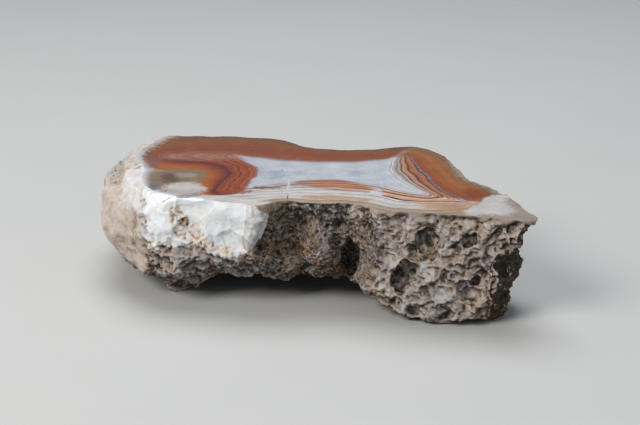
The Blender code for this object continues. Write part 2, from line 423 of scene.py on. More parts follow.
@dataclass(frozen=True)
class Vein:
    """A thin straight mark on the face, from one place to another, that thins out at its ends.

    Attributes:
        start: x and y of one end.
        end: x and y of the other.
        width: how wide it is.
        colour: its sRGB hex colour.
        strength: how much of what lies under it it hides.
    """

    start: Point
    end: Point
    width: float
    colour: str
    strength: float


@dataclass(frozen=True)
class Rind:
    """A part of the face that the polish didn't reach: lower, lumpy and broken.

    Attributes:
        outline: its corners in x and y, going on past the rim.
        start: how far inside the outline the broken part begins.
        reach: how far inside it has fallen all the way.
        fall: how far it falls.
        lump_spacing: the spacing of its lumps.
        lump_height: how far they stand out or go in.
    """

    outline: Outline
    start: float
    reach: float
    fall: float
    lump_spacing: float
    lump_height: float


@dataclass(frozen=True)
class BandCurves:
    """The fortification bands' three guide lines on the polished face.

    The band number runs from 0 on the outer line, over 0.6 on the lavender one, to 1 where the pale core
    starts, and on past 1 into the core and below 0 into the rind.
    """

    outer: Outline = (
        (-18.6, -13.6), (-15.0, -15.9), (-11.5, -17.2), (-8.8, -18.9), (-6.3, -17.3), (-4.0, -15.8),
        (-1.4, -17.2), (2.4, -17.7), (6.2, -17.7), (9.9, -19.1), (12.2, -21.5), (16.5, -22.6),
        (20.6, -23.2), (24.4, -23.0), (27.4, -20.9), (29.0, -18.4), (29.6, -16.2), (31.2, -13.6),
        (31.2, -13.6), (30.6, -10.2), (28.8, -7.4), (27.0, -5.0), (25.9, 0.0), (25.2, 5.0), (24.0, 10.0),
        (21.8, 14.2), (19.2, 16.4), (15.5, 16.2), (11.4, 14.9), (5.8, 14.9), (2.0, 15.6), (-2.0, 17.8),
        (-4.8, 21.8), (-8.0, 23.0), (-14.5, 24.4), (-22.0, 24.9), (-27.6, 24.4), (-29.4, 20.0),
        (-30.8, 15.0), (-31.2, 11.0), (-30.0, 7.0), (-28.0, 3.8), (-25.5, 2.7), (-22.0, 2.0), (-19.6, 0.4),
        (-18.8, -2.4), (-19.5, -5.2), (-18.5, -7.6), (-18.2, -10.6),
    )
    lavender: Outline = (
        (27.5, -17.1), (27.5, -17.1), (22.0, -16.9), (16.8, -16.4), (15.0, -15.4), (13.2, -13.6),
        (10.4, -12.3), (7.0, -11.6), (3.0, -11.0), (-1.0, -11.0), (-5.0, -11.7), (-9.0, -12.3),
        (-12.4, -13.2), (-15.0, -13.4), (-16.7, -11.6), (-16.2, -8.0), (-15.1, -4.0), (-14.2, 0.0),
        (-14.7, 3.2), (-17.0, 5.8), (-21.0, 7.4), (-25.6, 8.4), (-28.4, 10.6), (-26.0, 14.0), (-20.0, 15.6),
        (-13.0, 15.8), (-6.0, 14.2), (0.0, 12.2), (6.0, 11.4), (12.0, 11.6), (16.6, 12.4), (18.6, 12.0),
        (19.1, 8.0), (19.7, 4.0), (20.9, 0.0), (21.7, -5.0), (22.6, -9.0), (23.6, -12.0), (25.2, -14.4),
    )
    core: Outline = (
        (20.2, -12.3), (20.2, -12.3), (18.0, -11.6), (15.8, -9.8), (13.6, -7.4), (11.0, -5.6), (8.0, -4.4),
        (4.0, -3.6), (0.0, -4.0), (-4.0, -5.2), (-7.5, -6.8), (-10.8, -8.0), (-10.8, -8.0), (-10.3, -5.0),
        (-9.2, -1.5), (-9.1, 1.5), (-10.0, 4.6), (-11.8, 8.4), (-13.8, 11.8), (-13.8, 11.8), (-10.0, 10.4),
        (-6.0, 8.6), (-2.0, 7.4), (2.0, 6.8), (6.0, 6.7), (10.0, 7.3), (15.6, 10.0), (15.6, 10.0),
        (14.6, 6.0), (14.2, 2.0), (14.9, -2.0), (16.2, -5.5), (17.8, -9.0),
    )
    lavender_band: float = 0.6
    # How far past the outer line or into the core the number changes by 1.
    reach: float = 12.0
    # How often the lines' corners are cut.
    rounds: int = 3
    # How far the bands wave, and the length of the waves along x and y.
    wave: float = 0.12
    wave_lengths: Point = (9.7, 6.3)

    def number(self, plan: np.ndarray) -> np.ndarray:
        """The band number at each place of the polished face.

        Args:
            plan: x and y of each place.

        Returns:
            One band number for each place.
        """
        x, y = plan.T
        long, short = self.wave_lengths
        across = self.wave * np.sin(math.tau * y / short) + 0.5 * self.wave * np.sin(math.tau * x / long)
        along = self.wave * np.sin(math.tau * x / short) + 0.5 * self.wave * np.sin(math.tau * y / long)
        moved = plan + np.stack([across, along], axis=1)
        outer, lavender, core = (
            signed_distance(moved, line, self.rounds) for line in (self.outer, self.lavender, self.core)
        )
        in_outer = self.lavender_band * outer / np.maximum(outer - lavender, TINY)
        in_inner = lavender / np.maximum(lavender - core, TINY)
        in_inner = self.lavender_band + (1.0 - self.lavender_band) * in_inner
        number = np.where(lavender > 0.0, in_inner, in_outer)
        number = np.where(core > 0.0, 1.0 + core / self.reach, number)
        return np.where(outer < 0.0, outer / self.reach, number)


# What the bands look like outwards to inwards, as band number and sRGB colour, on six stretches of the
# face: the front one, and those that are blended over it in this order. They start alike in nature, and
# water stained each side its own way.
FRONT_BANDS = (
    (0.0, "#a08d7b"), (0.06, "#b3a190"), (0.115, "#ae9a88"), (0.14, "#8c7362"), (0.165, "#bfb1a4"),
    (0.24, "#cdc7c1"), (0.3, "#d2d0ce"), (0.33, "#b39f91"), (0.35, "#ccc6c1"), (0.42, "#d8d7d6"),
    (0.49, "#d4d1cf"), (0.518, "#a38b7d"), (0.535, "#bcaba0"), (0.552, "#dcdbdb"), (0.62, "#d9d9da"),
    (0.652, "#a1928b"), (0.668, "#cfcbc9"), (0.72, "#d3d3d4"), (0.75, "#a88e82"), (0.768, "#c5bcb8"),
    (0.8, "#cbc9ca"), (0.85, "#bfb5b3"), (0.876, "#9b7e72"), (0.896, "#b9aba7"), (0.93, "#c2c1c6"),
    (1.0, "#bfc3cb"), (1.2, "#bfc5ce"),
)
FURTHER_BANDS = {
    "back": (
        (0.0, "#74513a"), (0.1, "#85532f"), (0.35, "#8c4c28"), (0.6, "#8a4428"), (0.8, "#924b28"),
        (0.93, "#965a42"), (1.0, "#a48d90"), (1.06, "#b9bec7"), (1.2, "#bfc5ce"),
    ),
    "lobe": (
        (0.0, "#a2672f"), (0.1, "#ab6428"), (0.28, "#a75424"), (0.4, "#984522"), (0.5, "#7e3420"),
        (0.6, "#5a2622"), (0.66, "#8a3a1f"), (0.72, "#a04a24"), (0.76, "#733021"), (0.79, "#a34c24"),
        (0.86, "#8a3c22"), (0.89, "#a54d27"), (0.95, "#9b5236"), (0.985, "#93706f"), (1.02, "#b7b8c2"),
        (1.2, "#bdc3cc"),
    ),
    "rust": (
        (0.0, "#c9b29e"), (0.6, "#d2cac3"), (0.64, "#c6b0a0"), (0.672, "#7d5545"), (0.69, "#c8b3a4"),
        (0.73, "#c39a7c"), (0.752, "#8e5238"), (0.77, "#b4714c"), (0.8, "#c08058"), (0.822, "#8a5039"),
        (0.84, "#c6a48c"), (0.862, "#b07856"), (0.885, "#9c5a3e"), (0.905, "#c19276"), (0.93, "#a2593a"),
        (0.965, "#a96644"), (0.99, "#8c4f38"), (1.02, "#a97d6a"), (1.06, "#b5aaaa"), (1.2, "#bcc1ca"),
    ),
    "right": (
        (0.0, "#87633f"), (0.05, "#9a5d2c"), (0.18, "#a5652f"), (0.3, "#9d5a28"), (0.42, "#9c5426"),
        (0.5, "#934a20"), (0.564, "#8f4a2c"), (0.58, "#847480"), (0.598, "#776a7e"), (0.612, "#5c4858"),
        (0.628, "#55352f"), (0.645, "#aa6a42"), (0.68, "#b4754b"), (0.712, "#a66841"), (0.728, "#6a3f32"),
        (0.742, "#54322d"), (0.757, "#a66e4a"), (0.785, "#bd8a66"), (0.81, "#b8907a"), (0.828, "#7a5449"),
        (0.842, "#866459"), (0.858, "#bba596"), (0.88, "#bfb0aa"), (0.9, "#8f7b79"), (0.917, "#ab9fa2"),
        (0.935, "#d0cfd1"), (0.955, "#d4d5d8"), (0.97, "#b3acb1"), (0.985, "#c4c5ca"), (1.02, "#c3c7ce"),
        (1.2, "#c0c5ce"),
    ),
    "fan": (
        (0.55, "#dcdbda"), (0.58, "#d3cdc9"), (0.592, "#6a504a"), (0.602, "#33262a"), (0.614, "#553632"),
        (0.63, "#c48d68"), (0.665, "#cf9f7d"), (0.7, "#d8b598"), (0.722, "#dccabb"), (0.742, "#c08762"),
        (0.765, "#a0654a"), (0.786, "#5a3a34"), (0.8, "#8a5f4e"), (0.82, "#cda285"), (0.852, "#d2b8a4"),
        (0.873, "#a9755b"), (0.89, "#67463d"), (0.903, "#b39c90"), (0.93, "#d2cfcf"), (0.95, "#cbc6c6"),
        (0.965, "#9d8880"), (0.98, "#c5c3c6"), (1.02, "#c7cad0"), (1.2, "#c0c5ce"),
    ),
}
BANDS_END = 1.25

# Stretches and rinds of the face, in x and y.
LOBE_STRETCH = (
    (-31.0, 3.0), (-20.0, 0.5), (-19.6, -6.0), (-18.9, -13.2), (-14.8, -13.5), (-12.0, -12.4),
    (-10.9, -9.2), (-10.0, -6.0), (-7.6, -3.0), (-7.2, 2.0), (-9.0, 6.0), (-13.0, 9.6), (-20.0, 9.4),
    (-31.0, 9.6),
)
RUST_STRETCH = (
    (-3.0, -5.0), (0.6, -4.2), (3.4, -3.8), (6.4, -4.3), (9.0, -6.2), (11.4, -9.2), (12.0, -11.4),
    (7.0, -11.0), (3.6, -10.0), (0.0, -8.4),
)
FAN_STRETCH = (
    (13.1, -6.4), (15.6, -8.2), (18.4, -10.6), (20.6, -12.4), (24.0, -14.9), (29.0, -17.4), (29.0, -20.0),
    (12.7, -20.0), (12.8, -12.6),
)
RIGHT_RIND = (
    (25.0, 12.0), (26.2, 0.0), (27.7, -4.8), (29.6, -7.1), (31.6, -9.9), (31.8, -13.2), (36.0, -13.0),
    (42.0, -4.0), (34.0, 16.0),
)
LEFT_RIND = (
    (-25.0, 29.0), (-29.0, 20.5), (-31.0, 14.0), (-31.2, 10.5), (-30.0, 6.8), (-28.6, 3.0), (-28.8, -3.0),
    (-27.2, -9.0), (-23.4, -12.2), (-18.9, -13.4), (-16.0, -15.2), (-18.0, -20.0), (-44.0, -20.0),
    (-44.0, 32.0),
)

# Stains that the hair lines run through.
STAINS = (
    Patch("mauve_streak", "#a87866", 2.2, 0.6, 0.75, (
        (-28.0, 9.5), (-20.0, 8.6), (-14.0, 9.0), (-13.0, 12.0), (-19.0, 13.6), (-27.0, 13.2),
    )),
    Patch("pale_margin", "#d3cfcc", 0.7, 0.4, 0.85, (
        (-20.0, -12.6), (-15.4, -14.0), (-11.4, -15.0), (-8.8, -16.6), (-6.2, -16.4), (-6.8, -20.0),
        (-20.0, -20.0),
    )),
    Patch("bleeding", "#b6845c", 1.8, 0.7, 0.8, (
        (17.6, -17.4), (20.0, -16.9), (27.4, -17.2), (29.0, -17.2), (28.4, -18.6), (26.8, -20.7),
        (25.0, -22.4), (22.6, -22.2), (19.6, -20.6),
    )),
    Patch("lavender_tip", "#aba3ae", 0.3, 0.6, 0.75, (
        (23.8, -13.6), (26.4, -16.0), (28.2, -17.1), (25.6, -17.1), (24.9, -16.0),
    )),
    Patch("core_grey", "#98a5af", 1.2, 1.5, 0.8, (
        (-7.8, 1.6), (-5.6, 2.6), (-4.0, 0.4), (-4.2, -3.0), (-6.4, -3.6), (-7.6, -1.6),
    )),
    Patch("core_smoke", "#a3aab5", 1.0, 1.4, 0.7, (
        (7.4, 2.0), (9.4, 2.4), (10.2, -0.6), (8.6, -2.4), (7.0, -1.0),
    )),
    Patch("core_dot", "#a3adb6", 0.8, 1.1, 0.7, ((-2.4, 1.6), (-1.0, 1.8), (-0.6, -1.4), (-2.2, -1.6))),
    Patch("dark_red", "#823514", 1.2, 0.5, 0.85, (
        (27.6, -8.4), (30.4, -10.4), (31.2, -13.0), (29.2, -15.6), (27.2, -14.4), (26.8, -11.0),
    )),
    Patch("mauve_haze", "#a08780", 1.2, 0.9, 0.6, (
        (-7.0, -6.4), (-2.2, -5.2), (1.6, -6.0), (0.0, -8.2), (-4.0, -8.4),
    )),
    Patch("peach", "#c5966c", 0.7, 0.5, 0.75, (
        (-2.0, -14.4), (0.8, -13.0), (6.0, -13.4), (9.6, -14.8), (11.4, -16.4), (9.0, -17.0), (6.4, -15.6),
        (0.6, -15.4),
    )),
    Patch("red_smudge", "#7a4030", 0.4, 0.6, 0.85, (
        (-10.4, -8.2), (-7.6, -7.8), (-4.6, -8.6), (-6.6, -9.6), (-9.6, -9.4),
    )),
    Patch("red_fleck", "#95482c", 0.4, 0.8, 0.8, (
        (-13.4, -10.0), (-11.4, -9.8), (-9.4, -10.8), (-10.8, -12.2), (-13.2, -12.4),
    )),
)
# Rind, inclusions and bleached spots that cover the lines.
COVERS = (
    Patch("right_rind", "#94877a", 0.5, 0.7, 1.0, RIGHT_RIND),
    Patch("white_corner", "#c3bfbd", 0.5, 0.4, 1.0, (
        (31.5, -13.2), (30.2, -14.5), (29.4, -17.0), (28.5, -18.6), (27.0, -20.6), (25.4, -22.6),
        (28.0, -26.0), (40.0, -29.0), (40.0, -22.0), (34.6, -12.4),
    )),
    Patch("corner_edge", "#8f7e6d", 1.0, 0.8, 0.8, (
        (33.0, -14.6), (34.6, -21.0), (33.6, -24.4), (27.0, -23.6), (28.0, -27.0), (42.0, -31.0),
        (39.0, -12.0),
    )),
    Patch("left_rind", "#c6c7ca", 0.9, 0.8, 1.0, LEFT_RIND),
    Patch("back_corner", "#b29c90", 1.6, 1.0, 0.7, (
        (-24.0, 28.0), (-28.0, 22.0), (-29.8, 16.0), (-33.0, 15.0), (-40.0, 28.0),
    )),
    Patch("purple_spot", "#75525e", 1.2, 0.7, 0.8, (
        (-29.6, 11.0), (-30.2, 7.5), (-28.9, 3.6), (-27.6, 4.4), (-27.8, 9.6),
    )),
    Patch("inclusion", "#84705b", 0.9, 0.8, 0.95, (
        (-28.9, -0.4), (-26.6, 1.6), (-23.0, 2.4), (-20.1, 2.3), (-18.2, 0.2), (-18.9, -3.6), (-20.4, -5.6),
        (-23.2, -5.4), (-25.2, -8.6), (-26.7, -10.3), (-28.2, -7.0),
    )),
    Patch("inclusion_shade", "#58422e", 1.1, 0.9, 0.8, (
        (-26.8, -0.6), (-24.2, 0.4), (-23.0, -3.0), (-22.8, -6.0), (-25.6, -6.4),
    )),
    Patch("inclusion_grey", "#9c8f84", 0.8, 0.7, 0.8, (
        (-24.4, 0.6), (-20.6, 0.6), (-20.0, -2.4), (-23.4, -3.0),
    )),
    Patch("slate_spot", "#62676c", 0.7, 0.6, 0.9, (
        (-28.4, -6.0), (-26.8, -6.2), (-26.2, -9.6), (-27.6, -10.4),
    )),
    Patch("white_lens", "#c5bfba", 1.0, 0.8, 1.0, (
        (-25.2, -7.4), (-23.2, -5.6), (-20.4, -5.6), (-18.6, -7.6), (-17.6, -9.2), (-18.6, -11.4),
        (-21.6, -13.2), (-23.8, -12.2), (-25.2, -9.6),
    )),
    Patch("lens_shade", "#a8a09b", 0.9, 0.8, 0.65, (
        (-24.6, -10.0), (-21.6, -10.6), (-18.9, -10.4), (-19.2, -11.8), (-21.6, -12.9), (-23.8, -12.0),
    )),
    Patch("slate_line", "#848a99", 0.5, 0.3, 0.9, (
        (-23.6, -13.4), (-20.6, -12.9), (-18.8, -13.0), (-18.8, -13.8), (-21.0, -14.2),
    )),
    Patch("bleached", "#d4d4d6", 0.5, 0.15, 0.8, (
        (10.4, -11.2), (11.4, -9.8), (12.0, -11.6), (13.6, -12.9), (12.4, -13.4), (10.8, -12.6),
    )),
)
# Thin marks on the face: a healed crack, dark and rusty lines, and one pale line in the core.
VEINS = (
    Vein((-3.4, -2.6), (-3.7, -12.0), 0.42, "#dcdad8", 0.6),
    Vein((-3.6, -12.2), (-3.5, -16.2), 0.17, "#3b3330", 0.9),
    Vein((11.9, -12.8), (16.6, -16.1), 0.42, "#1c191b", 1.0),
    Vein((0.2, -15.1), (8.8, -16.6), 0.16, "#8a5f40", 0.7),
    Vein((-14.6, -14.2), (-9.2, -13.7), 0.22, "#7c4634", 0.8),
    Vein((-12.6, -9.2), (-3.8, -9.3), 0.3, "#8a5446", 0.6),
    Vein((-12.0, -11.2), (-6.2, -11.0), 0.25, "#965f4c", 0.5),
    Vein((-9.4, -7.5), (-4.2, -6.6), 0.4, "#a07868", 0.5),
    Vein((12.6, -2.2), (12.9, -9.6), 0.5, "#d2d3d8", 0.5),
)
RINDS = (
    Rind(LEFT_RIND, 0.9, 5.5, 1.6, 2.6, 0.6),
    Rind(RIGHT_RIND, 0.4, 2.6, 0.7, 1.3, 0.35),
)

# Areas of the broken sides as seen from the front, in x and z.
WHITE_AREA = (
    (-29.5, 22.0), (-28.2, 19.0), (-28.0, 13.5), (-26.7, 11.4), (-22.5, 12.0), (-18.4, 11.6), (-15.4, 10.4),
    (-12.5, 10.6), (-9.7, 11.6), (-8.2, 13.8), (-7.1, 17.7), (-8.9, 22.0),
)
FLECK_AREA = (
    (-24.2, 19.8), (-22.2, 19.4), (-21.0, 16.6), (-18.8, 15.8), (-17.4, 13.6), (-14.6, 12.2), (-12.2, 11.6),
    (-13.4, 10.2), (-17.5, 10.8), (-21.5, 12.4), (-23.8, 15.0),
)
RIDGE_AREA = (
    (-11.0, 22.0), (-10.4, 18.0), (-11.6, 12.2), (-9.6, 11.2), (-7.8, 14.1), (-6.6, 17.8), (-7.6, 22.0),
)
WEDGE_AREA = ((-9.4, 22.0), (-8.6, 19.6), (-6.2, 18.3), (-3.0, 19.8), (-2.6, 22.0))
RIB_AREA = ((-29.6, 21.0), (-23.0, 21.0), (-22.6, 14.0), (-25.6, 10.0), (-29.6, 9.0))
RECESS_AREA = (
    (-8.4, 22.0), (-8.0, 14.0), (-10.0, 9.0), (-6.0, 4.0), (6.0, 2.0), (9.5, 6.0), (12.6, 12.0),
    (12.6, 22.0),
)
WARM_AREA = (
    (-7.2, 13.2), (-4.0, 12.2), (-0.2, 12.4), (0.2, 9.6), (2.4, 6.4), (5.2, 3.0), (9.8, 0.0), (13.0, 0.0),
    (8.8, 3.4), (5.4, 8.0), (1.0, 10.4), (-3.2, 9.4), (-9.7, 11.1),
)
# Tan stains on the cream bulge at the left end, seen from the front.
TAN_AREA = ((-31.8, 18.4), (-29.4, 18.0), (-28.8, 12.6), (-30.0, 8.0), (-32.4, 9.0), (-31.2, 13.4))
# Pale, chalky skin: x, z and radius.
CHALK_SPOTS = (
    (17.2, 17.9, 1.6), (14.2, 11.6, 1.7), (22.4, 17.4, 1.5), (19.6, 11.2, 1.3), (20.6, 9.4, 1.5),
    (22.6, 5.6, 1.4), (25.2, 5.2, 1.6), (27.2, 5.8, 1.2), (8.0, 18.8, 1.6), (12.0, 18.6, 1.8),
    (16.4, 3.2, 1.1), (26.6, 19.0, 1.3), (30.0, 18.6, 1.6), (19.0, 2.2, 1.0), (12.6, 6.4, 1.0),
    (-2.4, 19.5, 1.0), (-0.4, 19.2, 1.1), (1.6, 19.6, 0.9), (4.4, 19.2, 1.0),
)

# The rock's colours from the bottom of a pit to the top of a ridge, dark pits being painted shade together
# with grime: the matrix's own, and by mask those of the other kinds of rock and of the right end's
# painted shade, which lie over it in this order.
MATRIX_TONES = (
    (0.0, "#2b211c"), (0.2, "#5e5047"), (0.4, "#91857c"), (0.56, "#aaa097"), (0.76, "#c0b8b1"),
    (1.0, "#d0cbc6"),
)
FURTHER_TONES = {
    "fine": (
        (0.0, "#1c1511"), (0.25, "#43382f"), (0.45, "#72655a"), (0.62, "#93877c"), (0.82, "#b0a79e"),
        (1.0, "#cac5c0"),
    ),
    "warm": ((0.0, "#211810"), (0.25, "#4b3929"), (0.5, "#7b6047"), (0.75, "#9c8163"), (1.0, "#b8a288")),
    # Painted shade: the right end, which faces away from the key light, drawn in dark brown.
    "shaded_right_end": ((0.0, "#0d0906"), (0.3, "#21180f"), (0.5, "#3b2c1e"), (0.75, "#5b4733"), (1.0, "#7c6650")),
    "chalk": ((0.0, "#554b44"), (0.25, "#9b928a"), (0.5, "#bfb8b2"), (1.0, "#d6d2ce")),
    "crust": ((0.0, "#5a4d42"), (0.3, "#8b7d70"), (0.6, "#a6998c"), (1.0, "#bfb6ad")),
    "cream": (
        (0.0, "#6d5b4f"), (0.25, "#a28f82"), (0.45, "#bfb1a6"), (0.62, "#ccc2ba"), (0.82, "#dad4d0"),
        (1.0, "#e4e0de"),
    ),
    "rind": ((0.0, "#857668"), (0.2, "#b3a89f"), (0.42, "#cdc9c7"), (0.65, "#dadadb"), (1.0, "#e3e4e7")),
    "tan": ((0.0, "#4f3f32"), (0.3, "#84705c"), (0.55, "#a28e79"), (0.8, "#b5a38f"), (1.0, "#c6b8a6")),
    "pale": (
        (0.0, "#94806a"), (0.14, "#c2b9ae"), (0.28, "#d9dadb"), (0.44, "#e8edf1"), (0.6, "#edf1f5"),
        (1.0, "#f4f7fa"),
    ),
    "flecks": (
        (0.0, "#4a3828"), (0.15, "#8a6f54"), (0.3, "#c0ab92"), (0.44, "#d9d2c8"), (0.58, "#e6e6e5"),
        (1.0, "#f0f2f4"),
    ),
}


@dataclass(frozen=True)
class RockRelief:
    """The rule of the broken surface: where it is eaten, chipped or knobbly, and how deep.

    Each size is the spacing of one feature or how far it goes in or stands out, in millimetres.
    """

    sponge_spacing: float = 3.0
    sponge_depth: float = 1.15
    bubble_spacing: float = 2.6
    bubble_depth: float = 0.8
    pit_spacing: float = 0.85
    pit_depth: float = 0.42
    crack_spacing: float = 0.8
    crack_depth: float = 0.4
    plate_spacing: float = 3.6
    plate_step: float = 0.55
    scoop_depth: float = 0.8
    lump_spacing: float = 5.6
    lump_height: float = 0.5
    swell_spacing: float = 6.4
    swell_height: float = 0.7
    rib_spacing: float = 1.5
    rib_height: float = 0.5
    grain_spacing: float = 0.7
    grain_height: float = 0.2
    warp_spacing: float = 2.6
    warp_reach: float = 0.8

    # The part of each noise's raw values that is drawn out: a narrow one leaves flat rock between hollows.
    SPONGE_SPAN: ClassVar[Point] = (0.44, 0.68)
    RIB_SPAN: ClassVar[Point] = (0.3, 0.7)
    # How much of its height an upright rib or a slender crack is read at, which draws it out along z.
    RIB_SQUASH: ClassVar[float] = 0.1
    CRACK_SQUASH: ClassVar[float] = 0.4
    # The smallest and largest bowl, in parts of their spacing, and how deep one is against its width.
    BOWL_RADII: ClassVar[Point] = (0.05, 0.66)
    BOWL_DEEPENING: ClassVar[float] = 1.8
    # Squared distance from a cell's middle at which scoops and lumps are level with the rock.
    SCOOP_LEVEL: ClassVar[float] = 0.2
    LUMP_LEVEL: ClassVar[float] = 0.3
    # How much of the relief is left at the rim and the feet.
    TIGHT_SHARE: ClassVar[float] = 0.22

    def sizes(self) -> dict[str, float]:
        """The sizes under the names that the tree's inputs have, in millimetres."""
        return {name.replace("_", " ").title(): value for name, value in vars(self).items()}

    def tree(self) -> Tree:
        """Builds the Geometry Nodes tree that moves each point along its normal.

        Returns:
            The tree. Its inputs are the mesh and the sizes in millimetres. It reads the point attributes
            that Stone stores for the kinds of rock.
        """
        tree, given = new_tree("rock_relief", dict.fromkeys(self.sizes(), "Float"))
        white, bulge, fine, tight, ribs, flecks = (
            add_node(tree, "GeometryNodeInputNamedAttribute", {"Name": name}, data_type="FLOAT")
            for name in ("white", "bulge", "fine", "tight", "ribs", "flecks")
        )
        place = self._warped_place(tree, given)
        upright, slender = (
            add_node(tree, VECTOR, {0: place, 1: (1.0, 1.0, squash)}, operation="MULTIPLY")
            for squash in (self.RIB_SQUASH, self.CRACK_SQUASH)
        )
        sponge = self._noise(tree, place, given, "Sponge", (0.0, given["Sponge Depth"]), self.SPONGE_SPAN)
        wall = self._noise(tree, upright, given, "Rib", (0.0, given["Rib Height"]), self.RIB_SPAN)
        swell, grain = (
            self._sum(tree, (self._noise(tree, place, given, name, (-1.0, 1.0)), given[name + " Height"]))
            for name in ("Swell", "Grain")
        )
        bubbles, pits, cracks = (
            self._bowls(tree, where, given, name)
            for where, name in ((place, "Bubble"), (place, "Pit"), (slender, "Crack"))
        )
        hollows = add_node(tree, MATH, {0: sponge, 1: bubbles}, operation="MAXIMUM")
        bare = add_node(tree, MATH, {0: white, 1: bulge}, operation="MAXIMUM")
        # How much there is of a form where a mask is 0, and where it is 1.
        hollow_share, pit_share, lump_share, grain_share, white_pits, crack_share, eaten_share, free = (
            add_node(tree, RANGE, {0: mask, 3: at_none, 4: at_full})
            for mask, at_none, at_full in (
                (fine, 1.0, 0.3), (fine, 0.6, 1.0), (bulge, 0.0, -1.0), (bare, 1.0, 0.36),
                (white, 0.0, -0.22), (flecks, 0.0, -1.0), (bare, -1.0, -0.04),
                (tight, MM, self.TIGHT_SHARE * MM),
            )
        )
        eaten = self._sum(tree, (hollows, hollow_share), (pits, pit_share))
        lump, _ = self._cells(tree, place, given["Lump Spacing"], self.LUMP_LEVEL)
        scoop, step = self._cells(tree, place, given["Plate Spacing"], self.SCOOP_LEVEL)
        plates = self._sum(tree, (step, given["Plate Step"]), (scoop, given["Scoop Depth"]))
        shape = self._sum(
            tree, (plates, white), (lump, given["Lump Height"], lump_share), (swell, bulge),
            (grain, grain_share), (grain, flecks), (pits, white_pits), (cracks, crack_share), (wall, ribs),
            (eaten, eaten_share),
        )
        height = self._sum(tree, (shape, free))
        normal = add_node(tree, "GeometryNodeInputNormal")
        move = add_node(tree, VECTOR, {0: normal, "Scale": height}, operation="SCALE")
        moved = add_node(tree, "GeometryNodeSetPosition", {"Geometry": given["Rock"], "Offset": move})
        add_node(tree, "NodeGroupOutput", {0: moved})
        return tree

    @staticmethod
    def _sum(tree: Tree, *terms: tuple[Value, ...]) -> Value:
        """The sum of products of two or more values each.

        Args:
            tree: the tree it goes in.
            *terms: the values of each product.

        Returns:
            The node that gives the sum.
        """
        total: Value = 0.0
        for product, *others, last in terms:
            for other in others:
                product = add_node(tree, MATH, {0: product, 1: other}, operation="MULTIPLY")
            total = add_node(tree, MATH, {0: product, 1: last, 2: total}, operation="MULTIPLY_ADD")
        return total

    @staticmethod
    def _noise(
        tree: Tree, place: Value, given: Any, name: str, reach: tuple[Value, Value],
        span: Point = (0.25, 0.75),
    ) -> Value:
        """Ragged noise with the spacing of a named feature."""
        return uneven(tree, place, given[name + " Spacing"], reach, span, detail=2.0, roughness=0.55)

    @staticmethod
    def _warped_place(tree: Tree, given: Any) -> Value:
        """The place of a point, pushed about so that no hollow is quite round.

        Args:
            tree: the tree it goes in.
            given: the tree's inputs by name.

        Returns:
            The pushed place.
        """
        place = add_node(tree, "GeometryNodeInputPosition")
        scale = scale_of(tree, given["Warp Spacing"])
        push = add_node(tree, NOISE, {"Vector": place, "Scale": scale, "Detail": 1.0}).outputs["Color"]
        centred = add_node(tree, VECTOR, {0: push, 1: (0.5, 0.5, 0.5)}, operation="SUBTRACT")
        reach = add_node(tree, MATH, {0: given["Warp Reach"], 1: 2.0 * MM}, operation="MULTIPLY")
        scaled = add_node(tree, VECTOR, {0: centred, "Scale": reach}, operation="SCALE")
        return add_node(tree, VECTOR, {0: place, 1: scaled}, operation="ADD")

    def _bowls(self, tree: Tree, place: Value, given: Any, name: str) -> Value:
        """Scattered bowls of many sizes, as how deep each point lies in one of this name.

        Args:
            tree: the tree it goes in.
            place: the place that they are read at.
            given: the tree's inputs by name.
            name: what the bowls are called among the inputs.

        Returns:
            The depth, 0 outside every bowl.
        """
        cells = add_node(tree, CELLS, {"Vector": place, "Scale": scale_of(tree, given[name + " Spacing"])})
        chance = add_node(tree, "ShaderNodeSeparateXYZ", {0: cells.outputs["Color"]})
        radius = add_node(tree, RANGE, {0: chance, 3: self.BOWL_RADII[0], 4: self.BOWL_RADII[1]})
        away = add_node(tree, MATH, {0: cells, 1: radius}, operation="DIVIDE")
        squared = add_node(tree, MATH, {0: away, 1: 2.0}, operation="POWER")
        left = add_node(tree, MATH, {0: 1.0, 1: squared}, operation="SUBTRACT", use_clamp=True)
        bowl = add_node(tree, MATH, {0: left}, operation="SQRT")
        return self._sum(tree, (bowl, radius, given[name + " Depth"], self.BOWL_DEEPENING))

    @staticmethod
    def _cells(tree: Tree, place: Value, spacing: Value, level: float) -> tuple[Value, Value]:
        """Touching cells: how far each point lies over a round hollow's level, and each cell's own step.

        Args:
            tree: the tree it goes in.
            place: the place that they are read at.
            spacing: the cells' spacing.
            level: the squared distance from a cell's middle that counts as level.

        Returns:
            How far over that level a point lies, and its cell's step from -0.5 to 0.5.
        """
        cells = add_node(tree, CELLS, {"Vector": place, "Scale": scale_of(tree, spacing)})
        squared = add_node(tree, MATH, {0: cells, 1: 2.0}, operation="POWER")
        chance = add_node(tree, "ShaderNodeSeparateXYZ", {0: cells.outputs["Color"]})
        return (
            add_node(tree, MATH, {0: squared, 1: level}, operation="SUBTRACT"),
            add_node(tree, MATH, {0: chance, 1: 0.5}, operation="SUBTRACT"),
        )


@dataclass(frozen=True)
class Finish:
    """What every finish has: a name, a refractive index, a roughness and a colour for each place."""

    name: str
    ior: float
    roughness: float

    def colour(self, tree: Tree, place: Value) -> Value:
        """The colour at a place, in linear light."""
        raise NotImplementedError

    def further(self, tree: Tree, place: Value) -> dict[str, Value]:
        """What goes to the shader's other sockets, by their names."""
        return {}

    def material(self) -> bpy.types.Material:
        """Builds the material, with the finish's numbers on the shader's own sockets.

        Returns:
            The new material.
        """
        material = bpy.data.materials.new(self.name)
        material.use_nodes = True
        tree = material.node_tree
        place = add_node(tree, "ShaderNodeTexCoord").outputs["Object"]
        sockets = {"IOR": self.ior, "Roughness": self.roughness, "Base Color": self.colour(tree, place)}
        for socket, value in {**sockets, **self.further(tree, place)}.items():
            feed(tree, tree.nodes["Principled BSDF"].inputs[socket], value)
        return material


